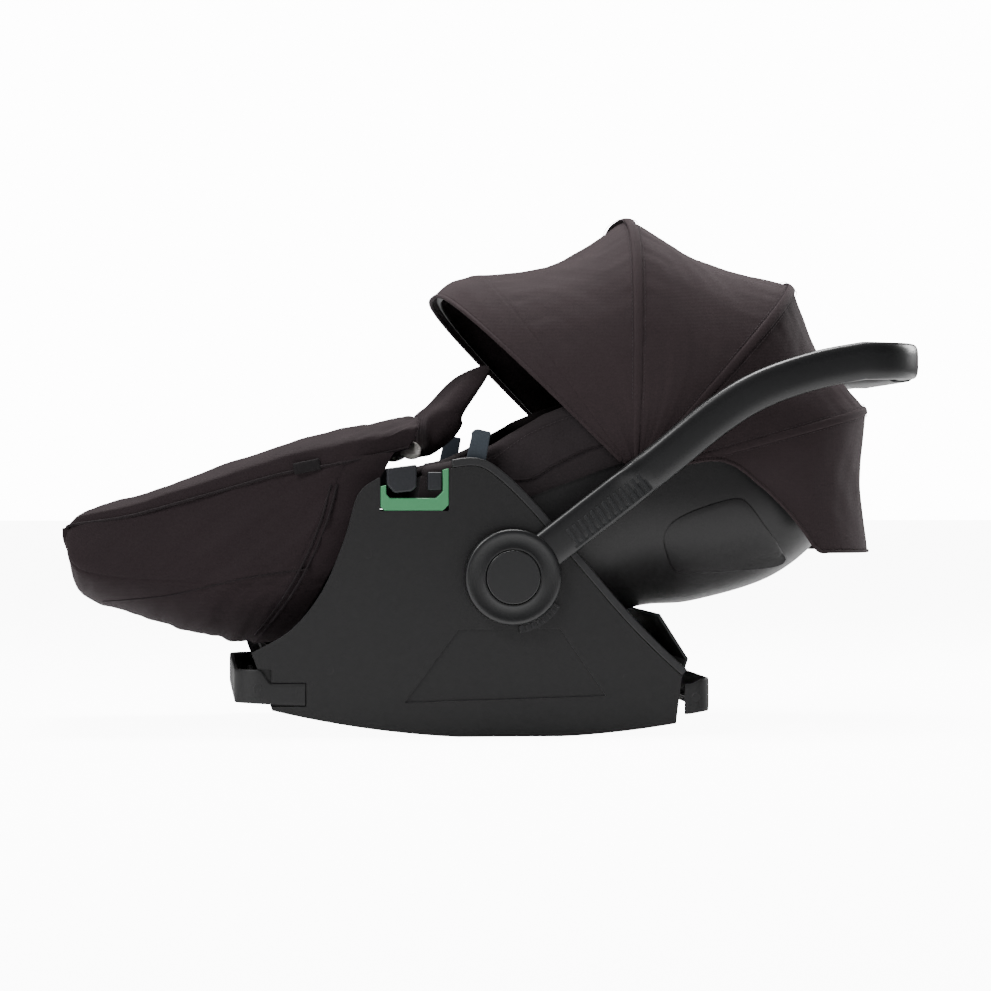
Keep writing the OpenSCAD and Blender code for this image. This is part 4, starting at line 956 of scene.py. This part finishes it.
# Arch at angle a: radius r*|cos t|^p and width half*|sin t|^p, from one pivot (-90) over the top to the other
def canopyPoint(a, t, r, half):
    a, t = np.radians(a), np.radians(t)
    rho = r * np.abs(np.cos(t))**archPower
    y = half * np.sign(t) * np.abs(np.sin(t))**archPower
    return np.stack([sizes["canopyX"] + rho * np.cos(a), y + 0 * a, sizes["canopyZ"] + rho * np.sin(a)], axis=-1)


# Angles along an arch, closer together towards the pivots
def archAngles(s):
    return np.sign(s) * archEnd * (1 - (1 - np.abs(s))**1.6)


# Fabric two thicknesses apart: drop is measured in towards the axis, pinch in from the sides
def canopyCloth(name, a, t, drop, pinch):
    r, half, thick = sizes["canopyR"], sizes["canopyHalf"], sizes["canopyT"]
    top = canopyPoint(a, t, r - drop, half - pinch)
    low = canopyPoint(a, t, r - thick - drop, half - thick - pinch)
    return solidSheet(name, top, low, "canopyCloth", 1), top


# Fabric between two bows: a hollow of sin(180g)*cos(t), puckers that fade away from the bows, a seam by the band
def canopySpan(name, fromAngle, toAngle, sag, band, rows, seed):
    f, s = spread(0, 1, rows, -1, 1, 170)
    t = archAngles(s)
    a = fromAngle + (toAngle - fromAngle) * f
    g = np.maximum(f - band, 0) / (1 - band)
    pucker = np.exp(-g / 0.16) + np.exp(-(1 - g) / 0.16)
    puckers = 0.75 * pucker * ripple(t / 5.2 + seed, f * 3)
    billows = 0.7 * np.sin(np.pi * g) * ripple(t / 17 + f * 2.4 + seed, f * 4)
    waves = canopyLook["fold"] * (puckers + billows)
    waves = waves * smoothStep(0, 0.12, g + 0.02) * smoothStep(0, 0.1, 1 - g)
    seam = canopyLook["seamHeight"] * np.exp(-((f - band) / 0.008)**2) if band else 0.0
    hollow = sag * np.sin(np.pi * g)**(0.8 if band else 1.0)
    step = canopyLook["bandStep"] * smoothStep(0.07, 0.2, f) * (1 - g) if band else 0.0
    drop = (hollow + step) * np.cos(np.radians(t)) + waves + seam
    return canopyCloth(name, a, t, drop, 0.35 * (waves + seam))


# Angle that a width across a bow takes up at each point of its arch
def widthAngle(width, t):
    return np.degrees(width / (sizes["canopyR"] * np.abs(np.cos(np.radians(t)))**archPower + 30))


# Binding over a bow: a low round tunnel across the seam, from pivot to pivot
def canopyRib(name, angle, halfWidth, rise, body):
    s, t = spread(-1, 1, 13, -1, 1, 220)
    t = archAngles(t)
    a = angle + widthAngle(s * halfWidth, t)
    high = rise * (1 - s**2)**0.6
    top = canopyPoint(a, t, sizes["canopyR"] + high, sizes["canopyHalf"] + 0.6 * high)
    low = canopyPoint(a, t, sizes["canopyR"] - 1.2 + 0 * high, sizes["canopyHalf"] - 1.2 + 0 * high)
    rib = solidSheet(name, top, low, "canopyCloth", 1)
    settle(rib, body)
    for k, s in enumerate((-1.35, 1.35)):
        t = archAngles(np.linspace(-0.86, 0.86, 400))
        line = canopyPoint(angle + widthAngle(s * halfWidth, t), t, sizes["canopyR"] - 0.2, sizes["canopyHalf"] - 0.1)
        settle(stitches(f"{name}Stitch{k}", line, 4.5, 3.0, 0.4, "thread"), body)


spans = {
    "canopyFrontPanel": {"node": "canopy_front_panel", "from": "front", "to": "second", "sag": 34.0, "band": 0.2,
                         "rows": 120, "seed": 0.3, "bodies": ("canopy_front", "canopy_second")},
    "canopyMiddlePanel": {"node": "canopy_middle_panel", "from": "second", "to": "third", "sag": 30.0, "band": 0.0,
                          "rows": 100, "seed": 1.7, "bodies": ("canopy_second", "canopy_third")},
    "canopyRearPanel": {"node": "canopy_rear_panel", "from": "third", "to": "rear", "sag": 25.0, "band": 0.0,
                        "rows": 90, "seed": 3.2, "bodies": ("canopy_third", "seat")},
}
ribs = (("canopyRibSecond", "second", 6.0, 1.6, "canopy_second"), ("canopyRibThird", "third", 6.0, 1.6, "canopy_third"),
        ("canopyRibRear", "rear", 5.0, 1.4, "seat"))
for ribName, ribBow, *ribShape in ribs:
    canopyRib(ribName, angles[ribBow], *ribShape)
for spanName, look in spans.items():
    span, surface = canopySpan(spanName, angles[look["from"]], angles[look["to"]], look["sag"], look["band"],
                               look["rows"], look["seed"])
    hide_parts(look["node"])
    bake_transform(span)
hemLine = canopyPoint(np.full(240, angles["front"] + 0.1), archAngles(np.linspace(-0.97, 0.97, 240)),
                      sizes["canopyR"] - 1.2, sizes["canopyHalf"] - 1.2)
frontHem = sweep("canopyFrontHem", hemLine, roundSection(2.4, 2.4), "canopyCloth", upward=(1.0, 0.0, 0.3))
settle(frontHem, "canopy_front")

hemReach = ((0.0, 0.03, 0.06, 0.09, 0.22, 0.47, 0.68, 0.84, 0.93, 1.0),
            (14.0, 42.0, 66.0, 84.0, 104.0, 129.0, 158.0, 184.0, 199.0, 211.0))
hemDrop = 80.0    # how far the level hem hangs below the pivots


# Valance behind the rear bow: its side edge runs in a curve from the pivot out to the hem
def makeValance():
    f, s = spread(0, 1, 100, -1, 1, 170)
    reach = np.interp(f, *hemReach)
    r = sizes["canopyR"]
    last = r * np.cos(np.arccos((hemReach[1][-1] / r)**(1 / archPower)) * s)**archPower
    a = angles["rear"] - (angles["rear"] + np.degrees(np.arcsin(hemDrop / last))) * f
    t = np.degrees(np.arccos((reach / r)**(1 / archPower))) * s
    waves = 1.2 * np.sin(np.pi * f) * ripple(s * 5 + 2.0, f * 4)
    drop = canopyLook["hemSag"] * np.sin(np.pi * f) * np.cos(np.radians(t)) + waves
    drop = drop - 4.5 * f**2 * np.cos(np.radians(t))
    return canopyCloth("canopyValance", a, t, drop, 0.3 * waves)


valance, valanceTop = makeValance()
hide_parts("canopy_valance")
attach(valance, "seat")
hemPath = np.concatenate([valanceTop[:, 0], valanceTop[-1], valanceTop[::-1, -1]])
hem = sweep("valanceHem", evenCurve(hemPath[::6], 260), roundSection(1.8, 1.8), "canopyCloth", upward=(1.0, 0.2, 0.4))
settle(hem, "seat")
print("stage: canopy")


# Foot muff

muffFloor = [[-462, 196], [-456, 156], [-438, 137], [-395, 123], [-350, 108], [-300, 96], [-262, 90]]
muffSeam = [[-461, 214], [-453, 218], [-430, 222], [-375, 231], [-305, 252], [-235, 271], [-172, 282]]
muffHalf = [148.0, 158, 165, 170, 176, 183, 188]
coverTop = [[-461, 218], [-440, 235], [-380, 251], [-300, 280], [-210, 311], [-140, 328], [-90, 337]]
coverSeam = [[-461.5, 217], [-453, 220.5], [-395, 229.5], [-310, 253], [-235, 274], [-172, 285], [-106, 301]]
coverHalf = [148.0, 158, 168, 176, 183, 187, 176]
muff = (muffFloor, muffSeam, muffHalf)
cover = (coverTop, coverSeam, coverHalf)


# Lower bag: soft bulges between its seams, a wavy underside and folds that gather towards the base
def makeMuffBody():
    u, v = spread(0.02, 1, 150, -1.03, 1.03, 170)
    side = smoothStep(0.35, 0.6, np.abs(v))
    bulge = 2.2 * side * np.sin(np.pi * np.clip((np.abs(v) - 0.45) / 0.55, 0, 1)) * (1 - smoothStep(0.75, 1, u))
    folds = (0.8 + 1.6 * smoothStep(0.5, 0.9, u)) * (1 - side) * ripple(u * 12, v * 2.0) * smoothStep(0.1, 0.4, u)
    folds = folds + 1.0 * side * ripple(u * 9 + v * 6, v * 5) * (0.35 + smoothStep(0.4, 0.9, u))
    seamLine = 0.62 - 0.05 * u
    sewn = 1.6 * np.exp(-((np.abs(v) - seamLine) / 0.012)**2)
    top = dishSkin(muff, u, v, sewn - bulge - folds)
    low = dishSkin(muff, u, v, 0 * u + 9.0)
    return solidSheet("footmuffBody", top, low, "muffCloth", 2), top


# Upper cover: domed from seam to seam, with folds that fan out from the collar
def makeMuffCover():
    u, v = spread(0.012, 1, 170, -1, 1, 150)
    p = dishPoint(*cover, u, v)
    thick = 1.4 + 8.6 * (1 - v**2) * np.clip((u * 28 - 1) / 8, 0.05, 1)
    gathered = smoothStep(0.66, 0.96, u)
    folds = 3.0 * gathered * ripple(u * 11 + np.abs(v) * 5, v * 4 + u * 5) * (1 - np.abs(v)**4)
    folds = folds + 1.1 * (1 - gathered) * ripple(u * 9, v * 4.0) * (1 - v**2)
    dome = 3.0 * np.sin(np.pi * np.clip(u / 0.9, 0, 1)) * (1 - np.abs(v)**3)
    top, low = p.copy(), p.copy()
    top[..., 2] += dome + folds
    low[..., 2] -= thick
    low[..., 1] *= 1 - 1.4 / 188
    return solidSheet("footmuffCover", top, low, "muffCloth", 2), top


# Hem that carries the bag's sides on behind the base panels: rows from the bag's rear edge, back and a little inwards
def makeMuffTail(surface):
    parts = []
    for side in (-1, 1):
        column = surface[-1, :86] if side < 0 else surface[-1, :-87:-1]
        back = np.linspace(-6, 1, 16)
        x = np.where(back < 0, back * 0.8, back * 46)
        inward = 1.2 * np.maximum(back, 0) + 0.25 * (back < 0)
        rise = np.linspace(1.0, 0.55, len(column))
        top = column[None] + np.stack([x[:, None] * rise[None], -side * (inward[:, None] + 0 * rise[None]),
                                       (0.10 * np.maximum(x, 0))[:, None] * rise[None]], axis=-1)
        low = top + (0.0, -side * 3.2, 0.6)
        parts.append(solidSheet("tail", top, low, "muffCloth", 1))
    return joinPieces("footmuffHemBand", parts)


muffBody, muffSurface = makeMuffBody()
muffTail = makeMuffTail(muffSurface)
settle(muffTail, "base")
muffCover, coverSurface = makeMuffCover()
for piece, node in ((muffBody, "footmuff_body"), (muffCover, "footmuff_cover")):
    settle(piece, "base", node)

collarOutline = [[-86, 300], [-84, 336], [-66, 354], [-44, 378], [-28, 388], [-15, 390], [-19, 378], [-44, 338],
                 [-45, 326], [-54, 312], [-68, 300], [-80, 293], [-86, 297]]
collarHalf = 142.0


# Folded collar: its outline carried across, drawn in at both ends and waved a little between them
def makeCollar():
    ring = evenCurve(collarOutline + [collarOutline[0]], 61)[:-1]
    s = np.linspace(-1, 1, 90)
    y = collarHalf * np.sign(s) * np.abs(s)**0.85
    full = np.clip(1 - np.abs(s)**14, 0.0, 1.0)**0.5 * 0.72 + 0.28
    centre = ring.mean(axis=0)
    flat = centre + (ring - centre)[None] * full[:, None, None]
    wave = 2.0 * ripple(s[:, None] * 7, ring[None, :, 1] * 0.02) * (1 - np.abs(s)[:, None]**3)
    sag = 5.0 * np.abs(s)[:, None]**3 * (ring[None, :, 1] - 293) / 97
    grid = np.stack([flat[..., 0] + 0.6 * wave, y[:, None] + 0 * wave, flat[..., 1] + 0.5 * wave - sag], axis=-1)
    return makePiece("footmuffCollar", grid, tubeFaces(len(s), len(ring)), "muffCloth", 70.0)


collar = makeCollar()
settle(collar, "base", "footmuff_collar")


tabLook = {"x": -225, "z": 272, "long": 28, "high": 12, "tilt": 12, "outer": -188.9, "inner": -187.0, "bend": 0.35}


# Blank sewn tab: a folded strip with softened edges, standing on the muff's side
def makeTab(look):
    u, v = spread(0, 1, 24, 0, 1, 12)
    turn, long, high = math.radians(look["tilt"]), look["long"], look["high"]
    x = look["x"] + long * u * math.cos(turn) - high * v * math.sin(turn)
    z = look["z"] + long * u * math.sin(turn) + high * v * math.cos(turn)
    bend = look["bend"] * np.sin(np.pi * u)
    top = np.stack([x, look["outer"] - bend, z], axis=-1)
    low = np.stack([x, look["inner"] + 0 * bend, z], axis=-1)
    return solidSheet("footmuffTab", top, low, "label", 2)


tab = makeTab(tabLook)
settle(tab, "base", "footmuff_tab")


# Fleece lining that shows between the cover's rear edge and the base: a soft roll across, under the collar
def makeFleece():
    s = np.linspace(-1, 1, 80)
    path = np.stack([-97 - 6 * np.abs(s)**2 + 1.0 * ripple(s * 6, 0.3), 166 * s,
                     292 + 12 * (1 - s**2) + 0.8 * ripple(s * 9, 1.0)], axis=1)
    full = np.clip(1 - np.abs(s)**16, 0.02, 1.0)**0.5
    section = full[:, None, None] * roundSection(11.0, 6.0, 2.2, 24)
    return sweep("footmuffLining", path, section, "fleece", crease=80.0)


fleece = makeFleece()
settle(fleece, "base")


# Toe panel: rows drawn from the bag's front edge up to the cover's front edge, bulging a little forwards
def makeToe():
    low, high = dishPoint(*muff, 0.03, np.linspace(-1.03, 1.03, 150)), coverSurface[1]
    s = np.linspace(0, 1, 24)[:, None, None]
    outer = low * (1 - s) + high * s + np.array((-1.0, 0.0, 0.0)) * (2.0 + 3.5 * np.sin(np.pi * s))
    return solidSheet("footmuffToe", outer, outer + (4.0, 0.0, 0.0), "muffCloth", 1)


toe = makeToe()
settle(toe, "base")

trimLines = {"hem": [[-181, 262], [-191, 226], [-207, 186], [-229, 146], [-258, 104]], "hemShifts": (0.0, -6.5),
             "seam": [[-425, 139], [-359, 146], [-310, 157], [-270, 166], [-212, 174]]}


# Trimming: piping on the cover's seam, a double hem by the base and a seam along the bag
def makeTrim(name, path, radius, **ways):
    settle(sweep(name, path, roundSection(radius, radius), "piping", **ways), "base")


for side, label in ((-1, "Left"), (1, "Right")):
    edgeColumn = coverSurface[4:, 0 if side < 0 else -1]
    makeTrim("coverPiping" + label, edgeColumn + (0, side * 0.8, 0.2), 1.5)
    hemLine = evenCurve(trimLines["hem"], 80)
    for k, shift in enumerate(trimLines["hemShifts"]):
        path = onSide(restOn(muffSurface, hemLine + (shift, 0.0), -1, 0.3), side)
        makeTrim(f"muffHem{label}{k}", path, 1.3, upward=(1.0, 0.0, 0.5))
    lower = onSide(restOn(muffSurface, evenCurve(trimLines["seam"], 90), -1, 0.1), side)
    makeTrim("muffSeam" + label, lower, 0.9)
makeTrim("toePiping", coverSurface[0], 1.4)
print("stage: foot muff")
